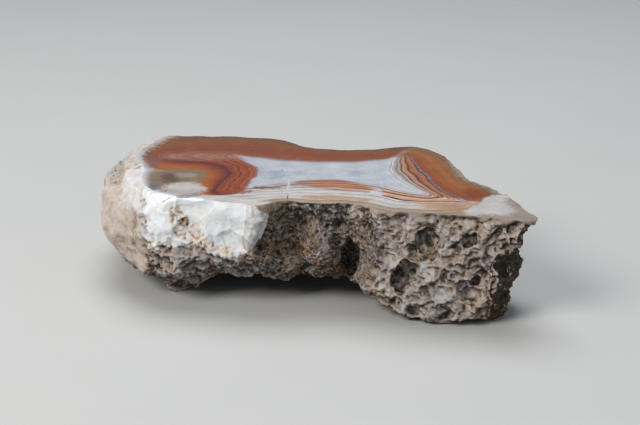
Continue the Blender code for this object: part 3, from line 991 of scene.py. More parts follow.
@dataclass(frozen=True)
class PolishedAgate(Finish):
    """Chalcedony, sawn and polished: clear colour bands under a smooth, slightly glassy skin."""

    name: str = "polished_chalcedony"
    ior: float = 1.54
    roughness: float = 0.2
    # Hair lines: how many fall in one step of the band number, and how strongly they show.
    lines: float = 38.0
    line_strength: float = 0.34
    core_lines: float = 0.07
    # The hair lines' noise, the darkening and lightening it is drawn out to, and where the core calms them.
    line_span: Point = (0.3, 0.7)
    line_tones: Point = (-1.0, 0.6)
    calm_bands: Point = (0.9, 1.08)
    # The bands' drift from the guide lines, and its further drift in the dark lobe: spacing and reach.
    drift: Point = (5.0, 0.014)
    lobe_drift: Point = (2.6, 0.03)
    # Milky clouds and quartz grain: spacing, and how much they darken and lighten.
    clouds: tuple[tuple[float, Point], ...] = ((3.0, (0.85, 1.1)), (0.4, (0.92, 1.06)))
    # Veins wander this far from their line, in bends of this length.
    vein_wander: float = 0.35
    vein_bends: float = 2.6
    # The part of a vein's half length that is whole, and the parts of its half width where its edge fades.
    vein_whole: float = 0.3
    vein_edge: Point = (0.6, 1.4)
    # The ragged edges of the patches.
    edge_spacing: float = 0.9

    def colour(self, tree: Tree, place: Value) -> Value:
        """The bands, and over them stains, hair lines, veins, covers and clouds.

        Args:
            tree: the material's tree.
            place: the place that it is read at, in the object's own coordinates.

        Returns:
            The face's colour.
        """
        band = self._drifting_band(tree, place)
        colour = self._bands(tree, band)
        for patch in STAINS:
            colour = self._patch(tree, place, colour, patch)
        colour = self._hair_lines(tree, band, colour)
        scale = scale_of(tree, self.vein_bends)
        bends = add_node(tree, NOISE, {"Vector": place, "Scale": scale, "Detail": 3.0}).outputs["Color"]
        wander = (2.0 * MM * self.vein_wander,) * 3
        pushed = add_node(tree, VECTOR, {0: bends, 1: wander, 2: place}, operation="MULTIPLY_ADD")
        for vein in VEINS:
            colour = self._vein(tree, pushed, colour, vein)
        for patch in COVERS:
            colour = self._patch(tree, place, colour, patch)
        for spacing, reach in self.clouds:
            cloud = uneven(tree, place, spacing, reach, (0.28, 0.72))
            colour = add_node(tree, VECTOR, {0: colour, "Scale": cloud}, operation="SCALE")
        return colour

    def _drifting_band(self, tree: Tree, place: Value) -> Value:
        """The band number, drifting a little as the silica did.

        Args:
            tree: the material's tree.
            place: the place that it is read at, in the object's own coordinates.

        Returns:
            The drifted band number.
        """
        band, lobe = (
            add_node(tree, ATTRIBUTE, attribute_name=name).outputs["Fac"] for name in ("band", "lobe")
        )
        for share, (spacing, reach) in ((1.0, self.drift), (lobe, self.lobe_drift)):
            drift = uneven(tree, place, spacing, (-reach, reach), (0.2, 0.8), detail=3.0)
            band = add_node(tree, MATH, {0: drift, 1: share, 2: band}, operation="MULTIPLY_ADD")
        return band

    @staticmethod
    def _bands(tree: Tree, band: Value) -> Value:
        """The bands' own colours on the six stretches, blended where the stretches meet.

        Args:
            tree: the material's tree.
            band: the drifted band number.

        Returns:
            The bands' colour.
        """
        factor = add_node(tree, MATH, {0: band, 1: BANDS_END}, operation="DIVIDE")
        layers = [
            (add_node(tree, ATTRIBUTE, attribute_name=name).outputs["Fac"], stops)
            for name, stops in FURTHER_BANDS.items()
        ]
        return blend_ramps(tree, factor, FRONT_BANDS, layers, BANDS_END)

    def _hair_lines(self, tree: Tree, band: Value, colour: Value) -> Value:
        """Thin lines of clearer and milkier silica that run with the bands, faint in the core.

        Args:
            tree: the material's tree.
            band: the drifted band number.
            colour: what it goes over.

        Returns:
            The colour with the lines in it.
        """
        along = add_node(tree, MATH, {0: band, 1: self.lines}, operation="MULTIPLY")
        noise = add_node(
            tree, NOISE, {"W": along, "Scale": 1.0, "Detail": 1.0, "Roughness": 0.6}, noise_dimensions="1D"
        )
        value, strength = (
            add_node(tree, RANGE, dict(enumerate((source, *span, *reach))))
            for source, span, reach in (
                (noise, self.line_span, self.line_tones),
                (band, self.calm_bands, (self.line_strength, self.core_lines)),
            )
        )
        gain = add_node(tree, MATH, {0: value, 1: strength, 2: 1.0}, operation="MULTIPLY_ADD")
        return add_node(tree, VECTOR, {0: colour, "Scale": gain}, operation="SCALE")

    def _vein(self, tree: Tree, place: Value, colour: Value, vein: Vein) -> Value:
        """Draws one vein: how far a point lies off the line, set against a width that fades at both ends.

        Args:
            tree: the material's tree.
            place: the place that it is read at, in the object's own coordinates.
            colour: what it goes over.
            vein: the vein.

        Returns:
            The colour with the vein on it.
        """
        run = Vector(vein.end) - Vector(vein.start)
        along = run.normalized()
        start = (*(MM * (value + self.vein_wander) for value in vein.start), 0.0)
        offset = add_node(tree, VECTOR, {0: place, 1: start}, operation="SUBTRACT")
        share, aside = (
            add_node(tree, VECTOR, {0: offset, 1: (*direction, 0.0)}, operation="DOT_PRODUCT")
            for direction in ((along.x, along.y), (-along.y, along.x))
        )
        half = MM * run.length / 2.0
        reach = MM * vein.width / 2.0
        past = add_node(tree, MATH, {0: share, 1: half}, operation="SUBTRACT")
        past, away = (add_node(tree, MATH, {0: value}, operation="ABSOLUTE") for value in (past, aside))
        near, far = (reach * share for share in self.vein_edge)
        taper = add_node(tree, RANGE, {0: past, 1: self.vein_whole * half, 2: half, 3: 1.0, 4: 0.0})
        line = add_node(tree, RANGE, {0: away, 1: near, 2: far, 3: vein.strength, 4: 0.0})
        amount = add_node(tree, MATH, {0: line, 1: taper}, operation="MULTIPLY")
        over = linear(vein.colour)
        return add_node(tree, MIX, {MIX_FACTOR: amount, MIX_UNDER: colour, MIX_OVER: over}, data_type="RGBA")

    def _patch(self, tree: Tree, place: Value, colour: Value, patch: Patch) -> Value:
        """Paints a patch over a colour, by an attribute that says how far inside the patch a point lies.

        Args:
            tree: the material's tree.
            place: the place that it is read at, in the object's own coordinates.
            colour: what it goes over.
            patch: the patch.

        Returns:
            The colour with the patch on it.
        """
        inside = add_node(tree, ATTRIBUTE, attribute_name=patch.name).outputs["Fac"]
        push = uneven(tree, place, self.edge_spacing, (-patch.ragged, patch.ragged))
        edge = add_node(tree, MATH, {0: inside, 1: push}, operation="ADD")
        amount = add_node(
            tree, RANGE, {0: edge, 1: -patch.soft, 2: patch.soft, 3: 0.0, 4: patch.strength},
            interpolation_type="SMOOTHSTEP",
        )
        over = linear(patch.colour)
        return add_node(tree, MIX, {MIX_FACTOR: amount, MIX_UNDER: colour, MIX_OVER: over}, data_type="RGBA")


@dataclass(frozen=True)
class BrokenRock(Finish):
    """Weathered silica and altered rock, broken and never polished: dull, chalky and full of tooth."""

    name: str = "broken_weathered_rock"
    ior: float = 1.5
    roughness: float = 0.82
    # How far in or out a point lies, in millimetres, for the darkest and the palest tone, and how much of
    # that is read from the wider surroundings. The dark hollows are painted shade together with grime.
    hollow_reach: float = 0.56
    wide_share: float = 0.45
    # Mineral speckle, and what is left of it on clean white or cream rock.
    speckle_spacing: float = 0.5
    speckle: float = 0.42
    clean_speckle: float = 0.2
    # How much darker the rock is drawn where it faces down, as painted shade under the stone, and where it
    # faces up.
    dirt: float = 0.42
    # Crystal tooth, in truth finer than this, and drawn as coarse as it needs to show.
    tooth_spacing: float = 0.16
    tooth_height: float = 0.05
    tooth_strength: float = 0.6
    # The ragged edges between kinds of rock: spacing, how far they are pushed, and the mask values that
    # an edge runs between.
    edge_spacing: float = 1.1
    edge_push: float = 0.45
    edge_span: Point = (0.3, 0.7)
    # Rust and clay tint it unevenly: the spacing of the tints and the two colours it is multiplied by.
    tint_spacing: float = 3.4
    tints: Stops = ((0.38, "#fff5e9"), (0.62, "#f3f6ff"))
    # How much of the tint is left on clean white or cream rock.
    clean_tint: float = 0.3

    def colour(self, tree: Tree, place: Value) -> Value:
        """Each kind of rock's tones over the matrix, with painted shade and grime in its hollows, painted
        shade under the stone and on the right end, warmer in some places and cooler in others.

        Args:
            tree: the material's tree.
            place: the place that it is read at, in the object's own coordinates.

        Returns:
            The rock's colour.
        """
        near, wide, clean, dirt = (
            add_node(tree, ATTRIBUTE, attribute_name=name).outputs["Fac"]
            for name in ("near_height", "wide_height", "clean", "dirt")
        )
        # The tone runs dark in hollows and pale on ridges: in the hollows painted shade, together with grime.
        both = add_node(tree, MATH, {0: wide, 1: self.wide_share, 2: near}, operation="MULTIPLY_ADD")
        height = add_node(tree, RANGE, {0: both, 1: -self.hollow_reach, 2: self.hollow_reach})
        speck = uneven(tree, place, self.speckle_spacing, (-0.5, 0.5), roughness=0.65)
        amount = add_node(tree, RANGE, {0: clean, 3: self.speckle, 4: self.clean_speckle})
        tone = add_node(tree, MATH, {0: speck, 1: amount, 2: height}, operation="MULTIPLY_ADD")
        # Darker where the rock faces down, as painted shade under the stone, and a little darker where it
        # faces up.
        tone = add_node(tree, MATH, {0: dirt, 1: -self.dirt, 2: tone}, operation="MULTIPLY_ADD")
        layers = [(self._ragged_mask(tree, place, name), stops) for name, stops in FURTHER_TONES.items()]
        colour = blend_ramps(tree, tone, MATRIX_TONES, layers)
        scale = scale_of(tree, self.tint_spacing)
        noise = add_node(tree, NOISE, {"Vector": place, "Scale": scale, "Detail": 3.0})
        tint = fill_ramp(add_node(tree, RAMP, {0: noise}), self.tints)
        share = add_node(tree, RANGE, {0: clean, 3: 1.0, 4: self.clean_tint})
        return add_node(
            tree, MIX, {MIX_FACTOR: share, MIX_UNDER: colour, MIX_OVER: tint}, data_type="RGBA",
            blend_type="MULTIPLY",
        )

    def further(self, tree: Tree, place: Value) -> dict[str, Value]:
        """The normal, roughened by the crystal tooth.

        Args:
            tree: the material's tree.
            place: the place that it is read at, in the object's own coordinates.

        Returns:
            The normal, for the shader's socket.
        """
        scale = scale_of(tree, self.tooth_spacing)
        tooth = add_node(tree, NOISE, {"Vector": place, "Scale": scale, "Detail": 2.0})
        depth = {"Strength": self.tooth_strength, "Distance": MM * self.tooth_height}
        return {"Normal": add_node(tree, "ShaderNodeBump", {**depth, "Height": tooth})}

    def _ragged_mask(self, tree: Tree, place: Value, name: str) -> Value:
        """A mask attribute whose soft edge is broken up by noise.

        Args:
            tree: the material's tree.
            place: the place that it is read at, in the object's own coordinates.
            name: the attribute.

        Returns:
            The mask, from 0 to 1.
        """
        mask = add_node(tree, ATTRIBUTE, attribute_name=name).outputs["Fac"]
        push = uneven(tree, place, self.edge_spacing, (-self.edge_push, self.edge_push))
        both = add_node(tree, MATH, {0: mask, 1: push}, operation="ADD")
        span = dict(enumerate(self.edge_span, 1))
        return add_node(tree, RANGE, {0: both, **span}, interpolation_type="SMOOTHSTEP")


@dataclass
class Stone:
    """The whole stone as the eye sees it, in place of the plain solid.

    Attributes:
        voxel: the step of the even mesh that the relief is worked on.
        soften_steps: how often the solid's facets are smoothed.
        soften_share: how much of the way to its neighbours each step moves a point.
        spare_top: how far the rough sides go up past the saw cut before it is made.
        face_step: the spacing of the points on the polished face.
        rim_skin: how far under the polished face the rock is tight.
        foot_skin: how far above the table it is tight.
        wear_height: how far down the sides the wear of the rind reaches.
        wear_onset: how far inside a rind its lumps reach their full height.
        wear_bias: how much more the lumps go in than out, in parts of their height.
        wear_octaves: the fractal's roughness, its step from layer to layer, and its layers.
        fine_step: the mesh step for which heights count in full.
        least_weight: how much they count at least.
        near_steps: smoothing steps before the near height is read.
        wide_steps: steps before the wide one is read.
        foot_snap: how high a point may lie and still be set down on the table.
        refine_over: how far above the cut the finer mesh goes.
        facing: how squarely a point has to face the front to get it.
        front_direction: the way from the stone to the eye.
        rim_room: how near a point of the face may come to the rim, in parts of the face's step.
        relief: the rule of the broken surface.
        curves: the bands' guide lines.
    """

    voxel: float = 0.46
    soften_steps: int = 6
    soften_share: float = 0.5
    spare_top: float = 1.6
    face_step: float = 0.44
    rim_skin: float = 1.1
    foot_skin: float = 0.5
    wear_height: float = 5.0
    wear_onset: float = 1.0
    wear_bias: float = 0.3
    wear_octaves: tuple[float, float, int] = (1.0, 2.0, 3)
    fine_step: float = 0.26
    least_weight: float = 0.45
    near_steps: int = 8
    wide_steps: int = 60
    foot_snap: float = 0.15
    refine_over: float = 0.3
    facing: float = 0.25
    rim_room: float = 0.6
    front_direction: tuple[float, float, float] = (0.0, -0.951, 0.309)
    relief: RockRelief = field(default_factory=RockRelief)
    curves: BandCurves = field(default_factory=BandCurves)

    def build(self, solid: bpy.types.Object) -> bpy.types.Object:
        """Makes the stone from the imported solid.

        Args:
            solid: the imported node, which stays as it is.

        Returns:
            The finished object.
        """
        self.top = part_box(NODE)[1].z / MM
        stone = put_in_scene("agate_stone", self._even_mesh(solid))
        self._refine_front(stone.data)
        self._mark_rock(stone.data)
        run_tree(stone, self.relief.tree(), self.relief.sizes())
        stone.data.materials.clear()
        for finish in (BrokenRock(), PolishedAgate()):
            stone.data.materials.append(finish.material())
        self._saw_and_polish(stone.data)
        for rind in RINDS:
            self._wear(stone.data, rind)
        self._mark_rock(stone.data)
        self._measure_cavities(stone.data)
        self._mark_face(stone.data)
        return stone

    def _even_mesh(self, solid: bpy.types.Object) -> bpy.types.Mesh:
        """A closed, even mesh of the solid, with its facets smoothed and its sides drawn up past the cut.

        Args:
            solid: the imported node, which stays as it is.

        Returns:
            The new mesh.
        """
        shape = bmesh.new()
        shape.from_mesh(solid.data)
        bmesh.ops.remove_doubles(shape, verts=shape.verts, dist=WELD)
        level = MM * self.top - WELD
        lid = [face for face in shape.faces if all(vert.co.z > level for vert in face.verts)]
        lifted = bmesh.ops.extrude_face_region(shape, geom=lid)["geom"]
        verts = [part for part in lifted if isinstance(part, bmesh.types.BMVert)]
        bmesh.ops.translate(shape, vec=(0.0, 0.0, MM * self.spare_top), verts=verts)
        bmesh.ops.recalc_face_normals(shape, faces=shape.faces)
        mesh = bpy.data.meshes.new("agate_even")
        shape.to_mesh(mesh)
        shape.free()
        helper = put_in_scene("agate_even", mesh)
        remesh = helper.modifiers.new("even", "REMESH")
        remesh.mode = "VOXEL"
        remesh.voxel_size = MM * self.voxel
        soften = helper.modifiers.new("soften", "SMOOTH")
        soften.factor = self.soften_share
        soften.iterations = self.soften_steps
        even = evaluated_copy(helper)
        bpy.data.objects.remove(helper)
        return even

    def _refine_front(self, mesh: bpy.types.Mesh) -> None:
        """Halves the mesh step where the broken front shows.

        Args:
            mesh: the stone's mesh, which is changed.
        """
        shape = bmesh.new()
        shape.from_mesh(mesh)
        shape.normal_update()
        front = Vector(self.front_direction)
        low, high = MM * self.foot_skin, MM * (self.top + self.refine_over)
        chosen = {v for v in shape.verts if low < v.co.z < high and v.normal.dot(front) > self.facing}
        edges = [e for e in shape.edges if e.verts[0] in chosen and e.verts[1] in chosen]
        bmesh.ops.subdivide_edges(shape, edges=edges, cuts=1, use_grid_fill=True)
        bmesh.ops.triangulate(shape, faces=[f for f in shape.faces if len(f.verts) > 4])
        shape.to_mesh(mesh)
        shape.free()

    def _mark_rock(self, mesh: bpy.types.Mesh) -> None:
        """Stores where each kind of rock lies on the broken sides, and where shade is painted, as numbers
        from 0 to 1.

        In each ramp the two numbers are where a share starts and where it is full, in millimetres on an
        axis, or as a part of a normal.

        Args:
            mesh: the stone's mesh, which is changed.
        """
        places, normals = point_table(mesh)
        x, y, z = places.T
        front = Side.FRONT.of(places)
        ahead = ramp(-normals[:, 1], -0.1, 0.35) * ramp(-y, 4.0, 9.0)

        def area(outline: Outline, soft: float | np.ndarray) -> np.ndarray:
            """How far a point lies in an area of the front."""
            return area_share(front, outline, soft)

        white_edge = 0.5 + 1.3 * ramp(-x, 23.0, 28.0) + 0.7 * ramp(-z, -14.0, -11.5)
        white = area(WHITE_AREA, white_edge) * ahead
        bulge = ramp(-x, 27.4, 29.6) * ramp(z, 3.5, 6.5) * (1.0 - white)
        ridge = area(RIDGE_AREA, 0.35) * ahead
        flecks = area(FLECK_AREA, 0.7) * white
        chalk = np.zeros(len(places))
        for centre_x, centre_z, radius in CHALK_SPOTS:
            away = np.hypot(x - centre_x, z - centre_z)
            chalk = np.maximum(chalk, 1.0 - ramp(away, 0.3 * radius, 1.3 * radius))
        left_top = ramp(-x, 21.0, 26.0) * ramp(z, 15.4, 18.4) * ramp(x, -35.4, -32.4)
        drab = ramp(-x, 21.0, 26.0) * ramp(z, 13.0, 18.0) * ramp(y, 2.0, 10.0)
        crust = ramp(z, self.top - 1.3, self.top - 0.6) * ramp(x, 8.0, 12.0)
        stripped = area_share(Side.PLAN.of(places), RIGHT_RIND, 0.4) * ramp(z, 18.8, 19.6)
        milky = np.clip(2.2 * area(WHITE_AREA, 4.0), 0.0, 1.0) * ahead
        milky *= ramp(-x, 24.0, 27.0) * ramp(z, 8.0, 11.5)
        pale = white * (1.0 - ridge)
        cream = np.maximum(bulge * (1.0 - drab), ridge)
        rind = np.maximum.reduce([0.9 * left_top - drab, 0.85 * milky, 0.9 * ridge]) * (1.0 - 0.9 * pale)
        tan = np.maximum(area(WEDGE_AREA, 0.35) * ahead, 0.5 * area(TAN_AREA, 1.2) * ramp(-y, 2.0, 6.0))
        clean = np.clip(np.maximum.reduce([pale, 0.8 * cream, 0.7 * left_top]) - flecks, 0.0, 1.0)
        # Painted shade on the right end, where it faces away from the key light.
        shaded_right_end = ramp(x, 29.2, 31.4) * ramp(normals[:, 0], -0.05, 0.3)
        # Faces that point down get painted shade under the stone; faces that point up get a smaller
        # darkening.
        underside_shade_top_dark_share = np.maximum(ramp(-normals[:, 2], 0.0, 0.7), 0.35 * ramp(normals[:, 2], 0.3, 0.8))
        recess = area(RECESS_AREA, 1.2) * ahead
        gritty = np.clip(recess + 0.08 * (1.0 - shaded_right_end), 0.0, 1.0)
        gritty *= 1.0 - ramp(np.maximum.reduce([pale, cream, left_top]), 0.1, 0.4)
        gritty *= ramp(z, 1.0, 2.0) * (1.0 - ramp(z, self.top - 1.0, self.top - 0.6))
        fields = {
            "white": white,
            "bulge": bulge,
            "flecks": 0.9 * flecks,
            "ribs": np.maximum(area(RIB_AREA, 1.0) * ramp(-y, 2.0, 7.0), ridge),
            "fine": recess,
            "tight": np.maximum(ramp(z, self.top - self.rim_skin, self.top), ramp(-z, -self.foot_skin, 0.0)),
            "warm": area(WARM_AREA, 0.8) * ahead,
            "chalk": np.maximum.reduce([chalk * ahead, drab, 0.85 * stripped]),
            "rind": rind,
            "cream": cream,
            "tan": tan,
            "crust": 0.8 * crust,
            "pale": pale,
            "shaded_right_end": shaded_right_end,
            "dirt": underside_shade_top_dark_share * (1.0 - 0.8 * clean),
            "clean": clean,
            "gritty": gritty,
        }
        for name, values in fields.items():
            store(mesh, name, values)

    def _saw_and_polish(self, mesh: bpy.types.Mesh) -> None:
        """Cuts the stone level at its top, sets its feet on the table and closes the cut with a flat face.

        Args:
            mesh: the stone's mesh, which is changed.
        """
        shape = bmesh.new()
        shape.from_mesh(mesh)
        for vert in shape.verts:
            if vert.co.z < MM * self.foot_snap:
                vert.co.z = 0.0
        everything = shape.verts[:] + shape.edges[:] + shape.faces[:]
        bmesh.ops.bisect_plane(
            shape, geom=everything, dist=ON_SAW, plane_co=(0.0, 0.0, MM * self.top), plane_no=(0.0, 0.0, 1.0),
            clear_outer=True,
        )
        for face in shape.faces:
            face.material_index = Face.BROKEN.value
            face.smooth = True
        self._close_cut(shape)
        shape.to_mesh(mesh)
        shape.free()

    def _close_cut(self, shape: bmesh.types.BMesh) -> None:
        """Fills the cut with an even net of triangles that meets the rim point for point.

        Args:
            shape: the cut stone, which is changed.
        """
        rim_edges = [edge for edge in shape.edges if edge.is_boundary]
        rim = list({vert: None for edge in rim_edges for vert in edge.verts})
        number = {vert: i for i, vert in enumerate(rim)}
        flat = [(vert.co.x / MM, vert.co.y / MM) for vert in rim]
        tree = kdtree.KDTree(len(flat))
        for i, (x, y) in enumerate(flat):
            tree.insert((x, y, 0.0), i)
        tree.balance()
        reach = max(abs(value) for place in flat for value in place) + self.face_step
        row_step = self.face_step * math.sqrt(0.75)
        rows = int(reach / row_step)
        columns = int(reach / self.face_step)
        inner = []
        for row in range(-rows, rows + 1):
            for column in range(-columns, columns + 1):
                x = (column + 0.5 * (row % 2)) * self.face_step
                y = row * row_step
                if tree.find((x, y, 0.0))[2] > self.rim_room * self.face_step:
                    inner.append((x, y))
        edges = [tuple(number[vert] for vert in edge.verts) for edge in rim_edges]
        points = [Vector(place) for place in flat + inner]
        places, _, triangles, sources, _, _ = geometry.delaunay_2d_cdt(points, edges, [], 2, TINY)
        verts = []
        for place, source in zip(places, sources):
            if source and source[0] < len(rim):
                verts.append(rim[source[0]])
            else:
                verts.append(shape.verts.new((MM * place.x, MM * place.y, MM * self.top)))
        for triangle in triangles:
            corners = [verts[i] for i in triangle]
            if len(set(corners)) == 3:
                face = shape.faces.new(corners)
                face.material_index = Face.POLISHED.value
                face.smooth = False
        loose = [vert for vert in shape.verts if not vert.link_faces]
        bmesh.ops.delete(shape, geom=loose, context="VERTS")

    def _wear(self, mesh: bpy.types.Mesh, rind: Rind) -> None:
        """Lets the face fall away, lumpy, where it runs out into rind, and makes it broken rock there.

        Args:
            mesh: the stone's mesh, which is changed.
            rind: the part of the face that is worn.
        """
        places, _ = point_table(mesh)
        depth = signed_distance(Side.PLAN.of(places), rind.outline)
        upper = ramp(places[:, 2], self.top - self.wear_height, self.top)
        worn = np.flatnonzero((depth > 0.0) & (upper > 0.0))
        spots = places[worn] / rind.lump_spacing
        lumps = np.array([fractal(Vector(spot), *self.wear_octaves) for spot in spots])
        near = ramp(depth[worn], rind.start, rind.start + self.wear_onset)
        fall = rind.fall * ramp(depth[worn], rind.start, rind.start + rind.reach)
        fall += rind.lump_height * near * (lumps + self.wear_bias)
        places[worn, 2] -= np.maximum(fall, 0.0) * upper[worn]
        mesh.vertices.foreach_set("co", (MM * places).astype(np.float32).ravel())
        for face in mesh.polygons:
            polished = face.material_index == Face.POLISHED.value
            if polished and min(depth[i] for i in face.vertices) > rind.start:
                face.material_index = Face.BROKEN.value
                face.use_smooth = True
        mesh.update()

    def _measure_cavities(self, mesh: bpy.types.Mesh) -> None:
        """Stores how far each point stands out from the smoothed rock around it, near and wide.

        Where the mesh is coarser the same steps smooth it farther, so its heights count for less.

        Args:
            mesh: the stone's mesh, which is changed.
        """
        places, normals = point_table(mesh)
        edges = np.empty(len(mesh.edges) * 2, np.int32)
        mesh.edges.foreach_get("vertices", edges)
        one, other = edges.reshape(-1, 2).T
        count = len(places)
        links = np.maximum(np.bincount(one, minlength=count) + np.bincount(other, minlength=count), 1)
        lengths = np.linalg.norm(places[one] - places[other], axis=1)
        step_size = (np.bincount(one, lengths, count) + np.bincount(other, lengths, count)) / links
        weight = np.clip(self.fine_step / np.maximum(step_size, TINY), self.least_weight, 1.0)
        readings = {self.near_steps: "near_height", self.wide_steps: "wide_height"}
        smooth = places.copy()
        for step in range(1, self.wide_steps + 1):
            totals = [
                np.bincount(one, smooth[other, axis], count) + np.bincount(other, smooth[one, axis], count)
                for axis in range(3)
            ]
            smooth = 0.5 * smooth + 0.5 * np.stack(totals, axis=1) / links[:, None]
            if step in readings:
                store(mesh, readings[step], weight * np.einsum("ij,ij->i", places - smooth, normals))

    def _mark_face(self, mesh: bpy.types.Mesh) -> None:
        """Stores the band number, the stretches and the patches on the polished face.

        Args:
            mesh: the stone's mesh, which is changed.
        """
        places, _ = point_table(mesh)
        on_face = np.zeros(len(places), bool)
        for face in mesh.polygons:
            if face.material_index == Face.POLISHED.value:
                on_face[list(face.vertices)] = True
        plan = Side.PLAN.of(places[on_face])
        x, y = plan.T
        band = self.curves.number(plan)
        inner = ramp(band, 0.59, 0.61)
        beyond_tip = ramp(x, 15.5, 16.5) * ramp(y, -17.3, -16.3)
        past_corner = ramp((x - 15.6) - 0.55 * (y - 10.0), -1.2, 1.2)
        right = np.maximum(inner * ramp(x, 11.8, 14.0), (1.0 - inner) * beyond_tip) * past_corner
        lobe = area_share(plan, LOBE_STRETCH, 0.5)
        back = ramp(y, 5.0, 8.5) * (1.0 - right)
        rust = area_share(plan, RUST_STRETCH, 0.7)
        fan = area_share(plan, FAN_STRETCH, 0.3) * ramp(band, 0.57, 0.585)
        fields = {"band": band, "right": right, "fan": fan, "lobe": lobe, "back": back, "rust": rust}
        for patch in STAINS + COVERS:
            fields[patch.name] = signed_distance(plan, patch.outline)
        for name, values in fields.items():
            everywhere = np.zeros(len(places))
            everywhere[on_face] = values
            store(mesh, name, everywhere)


@dataclass(frozen=True)
class QuartzGrit(Finish):
    """Tiny quartz crystals: clearer and smoother than the rock they sit on, so that a few glint."""

    name: str = "quartz_grit"
    ior: float = 1.544
    roughness: float = 0.5
    shade_spacing: float = 1.3
    shades: Stops = ((0.0, "#453b34"), (0.5, "#6f655d"), (1.0, "#9d958f"))

    def colour(self, tree: Tree, place: Value) -> Value:
        """Clearer or milkier from crystal to crystal."""
        shade = uneven(tree, place, self.shade_spacing, (0.0, 1.0), (0.35, 0.65), detail=2.0)
        return fill_ramp(add_node(tree, RAMP, {0: shade}), self.shades)


@dataclass(frozen=True)
class Grit:
    """Small crystals that grow on the matrix, scattered by Geometry Nodes.

    Attributes:
        spacing: the least room between two crystals.
        density: how many there are on a square centimetre of bare matrix.
        size: a crystal's width, which its own scales then vary.
        smallest: the smallest scale along each of its sides.
        largest: the largest.
        seed: what fixes the scatter.
    """

    spacing: float = 0.3
    density: float = 180.0
    size: float = 0.24
    smallest: float = 0.5
    largest: float = 1.7
    seed: int = 7

    def build(self, stone: bpy.types.Object) -> bpy.types.Object:
        """Makes the crystals on a finished stone.

        Args:
            stone: the stone they grow on, which stays as it is.

        Returns:
            One object with all the crystals.
        """
        grit = put_in_scene("agate_grit", stone.data.copy())
        sizes = {
            "Spacing": MM * self.spacing, "Density": self.density * 1e4, "Size": MM * self.size,
            "Seed": self.seed, "Smallest": (self.smallest,) * 3, "Largest": (self.largest,) * 3,
            "Material": QuartzGrit().material(),
        }
        run_tree(grit, self._tree(), sizes)
        return grit

    @staticmethod
    def _tree() -> Tree:
        """Builds the tree: points on bare matrix, a crystal on each, turned and scaled by chance.

        Returns:
            The tree. Its inputs are the rock, the sizes in metres, the seed and the material.
        """
        sockets = {
            "Spacing": "Float", "Density": "Float", "Size": "Float", "Smallest": "Vector",
            "Largest": "Vector", "Seed": "Int", "Material": "Material",
        }
        tree, given = new_tree("grit", sockets)
        seed = {"Seed": given["Seed"]}
        bare = add_node(tree, "GeometryNodeInputNamedAttribute", {"Name": "gritty"}, data_type="FLOAT")
        scatter = add_node(
            tree, "GeometryNodeDistributePointsOnFaces",
            {"Mesh": given["Rock"], "Distance Min": given["Spacing"], "Density Max": given["Density"],
             "Density Factor": bare, **seed},
            distribute_method="POISSON",
        )
        side = add_node(tree, "ShaderNodeCombineXYZ", dict.fromkeys(range(3), given["Size"]))
        crystal = add_node(tree, "GeometryNodeMeshCube", {"Size": side})
        turn, scale = (
            add_node(tree, "FunctionNodeRandomValue", {**span, **seed}, data_type="FLOAT_VECTOR")
            for span in ({"Max": (math.tau,) * 3}, {"Min": given["Smallest"], "Max": given["Largest"]})
        )
        placed = add_node(
            tree, "GeometryNodeInstanceOnPoints",
            {"Points": scatter, "Instance": crystal, "Rotation": turn, "Scale": scale},
        )
        real = add_node(tree, "GeometryNodeRealizeInstances", {0: placed})
        dressed = add_node(tree, "GeometryNodeSetMaterial", {"Geometry": real, "Material": given["Material"]})
        add_node(tree, "NodeGroupOutput", {0: dressed})
        return tree


@dataclass(frozen=True)
class MattFloor(Finish):
    """Pale painted board: flat and dull, so that nothing of it competes with the stone."""

    name: str = "matt_pale_board"
    ior: float = 1.5
    roughness: float = 0.9
    paint: str = "#c3c4c2"
    # The roller's faint unevenness.
    cloud_spacing: float = 1000.0 / 30.0

    def colour(self, tree: Tree, place: Value) -> Value:
        """The paint, very slightly uneven."""
        tint = uneven(tree, place, self.cloud_spacing, (0.97, 1.03), (0.0, 1.0), detail=3.0)
        return add_node(tree, VECTOR, {0: linear(self.paint)[:3], "Scale": tint}, operation="SCALE")


@dataclass(frozen=True)
class SoftLight:
    """One soft panel of light: its place and size in millimetres, its power in watts and its colour."""

    name: str
    place: tuple[float, float, float]
    size: float
    power: float
    colour: str

    def build(self, target: Vector) -> None:
        """Hangs the panel up, turned towards the target.

        Args:
            target: the place that it faces, in millimetres.
        """
        data = bpy.data.lights.new(self.name, "AREA")
        data.shape = "DISK"
        data.size = MM * self.size
        data.energy = self.power
        data.color = linear(self.colour)[:3]
        lamp = put_in_scene(self.name, data)
        lamp.location = Vector(self.place) * MM
        lamp.rotation_euler = (target * MM - lamp.location).to_track_quat("-Z", "Y").to_euler()


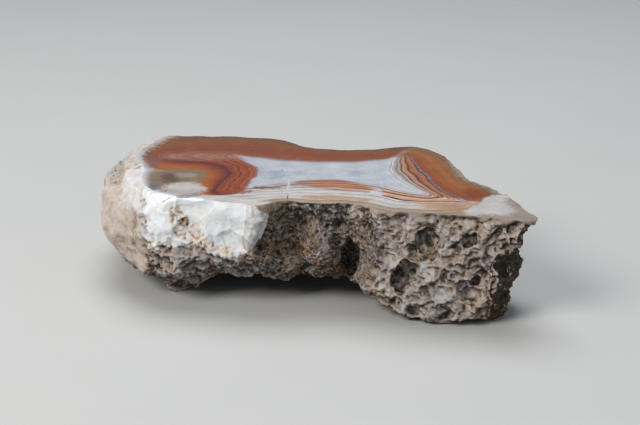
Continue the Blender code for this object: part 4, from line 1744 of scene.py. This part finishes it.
@dataclass(frozen=True)
class Studio:
    """The floor, the lights and the camera. None of them belongs to the stone."""

    floor_size: float = 3000.0
    lens: float = 90.0
    pitch: float = 18.0
    camera_place: tuple[float, float, float] = (2.0, -275.8, 102.7)
    lit_place: tuple[float, float, float] = (0.0, 0.0, 10.0)
    nearest_view: float = 10.0
    air: str = "#6f7478"
    lights: tuple[SoftLight, ...] = (
        SoftLight("key_panel", (-330.0, -330.0, 380.0), 260.0, 2.4, "#fffaf3"),
        SoftLight("top_panel", (-40.0, 140.0, 520.0), 400.0, 1.9, "#f8faff"),
        SoftLight("fill_panel", (380.0, -260.0, 220.0), 320.0, 0.25, "#eef4ff"),
    )

    def build(self) -> None:
        """Puts up the floor, the lights, the air's own light and the camera."""
        self._floor()
        for light in self.lights:
            light.build(Vector(self.lit_place))
        world = bpy.data.worlds.new("studio_air")
        world.use_nodes = True
        world.node_tree.nodes["Background"].inputs["Color"].default_value = linear(self.air)
        scene = bpy.context.scene
        scene.world = world
        data = bpy.data.cameras.new("camera")
        data.lens = self.lens
        data.clip_start = MM * self.nearest_view
        camera = put_in_scene("camera", data)
        camera.location = Vector(self.camera_place) * MM
        camera.rotation_euler = (math.radians(90.0 - self.pitch), 0.0, 0.0)
        scene.camera = camera
        scene.view_settings.view_transform = "Standard"

    def _floor(self) -> None:
        """Lays the floor under the stone."""
        shape = bmesh.new()
        bmesh.ops.create_grid(shape, x_segments=1, y_segments=1, size=MM * self.floor_size / 2.0)
        mesh = bpy.data.meshes.new("floor")
        shape.to_mesh(mesh)
        shape.free()
        mesh.materials.append(MattFloor().material())
        floor = put_in_scene("floor", mesh)
        floor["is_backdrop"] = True


def corners() -> list[list[float]]:
    """The lowest and highest corner of all that shows, as plain lists."""
    return [[float(value) for value in corner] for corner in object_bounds()]


def main() -> None:
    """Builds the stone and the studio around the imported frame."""
    logging.basicConfig(level=logging.INFO, format="%(name)s: %(message)s")
    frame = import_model()
    Studio().build()
    log.info("studio: floor, panels of light and camera")
    stone = Stone().build(frame["nodes"][NODE])
    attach(stone, BODY)
    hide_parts(NODE)
    log.info("%s: %d faces", stone.name, len(stone.data.polygons))
    grit = Grit().build(stone)
    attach(grit, BODY)
    log.info("%s: %d faces", grit.name, len(grit.data.polygons))


if __name__ == "__main__":
    main()
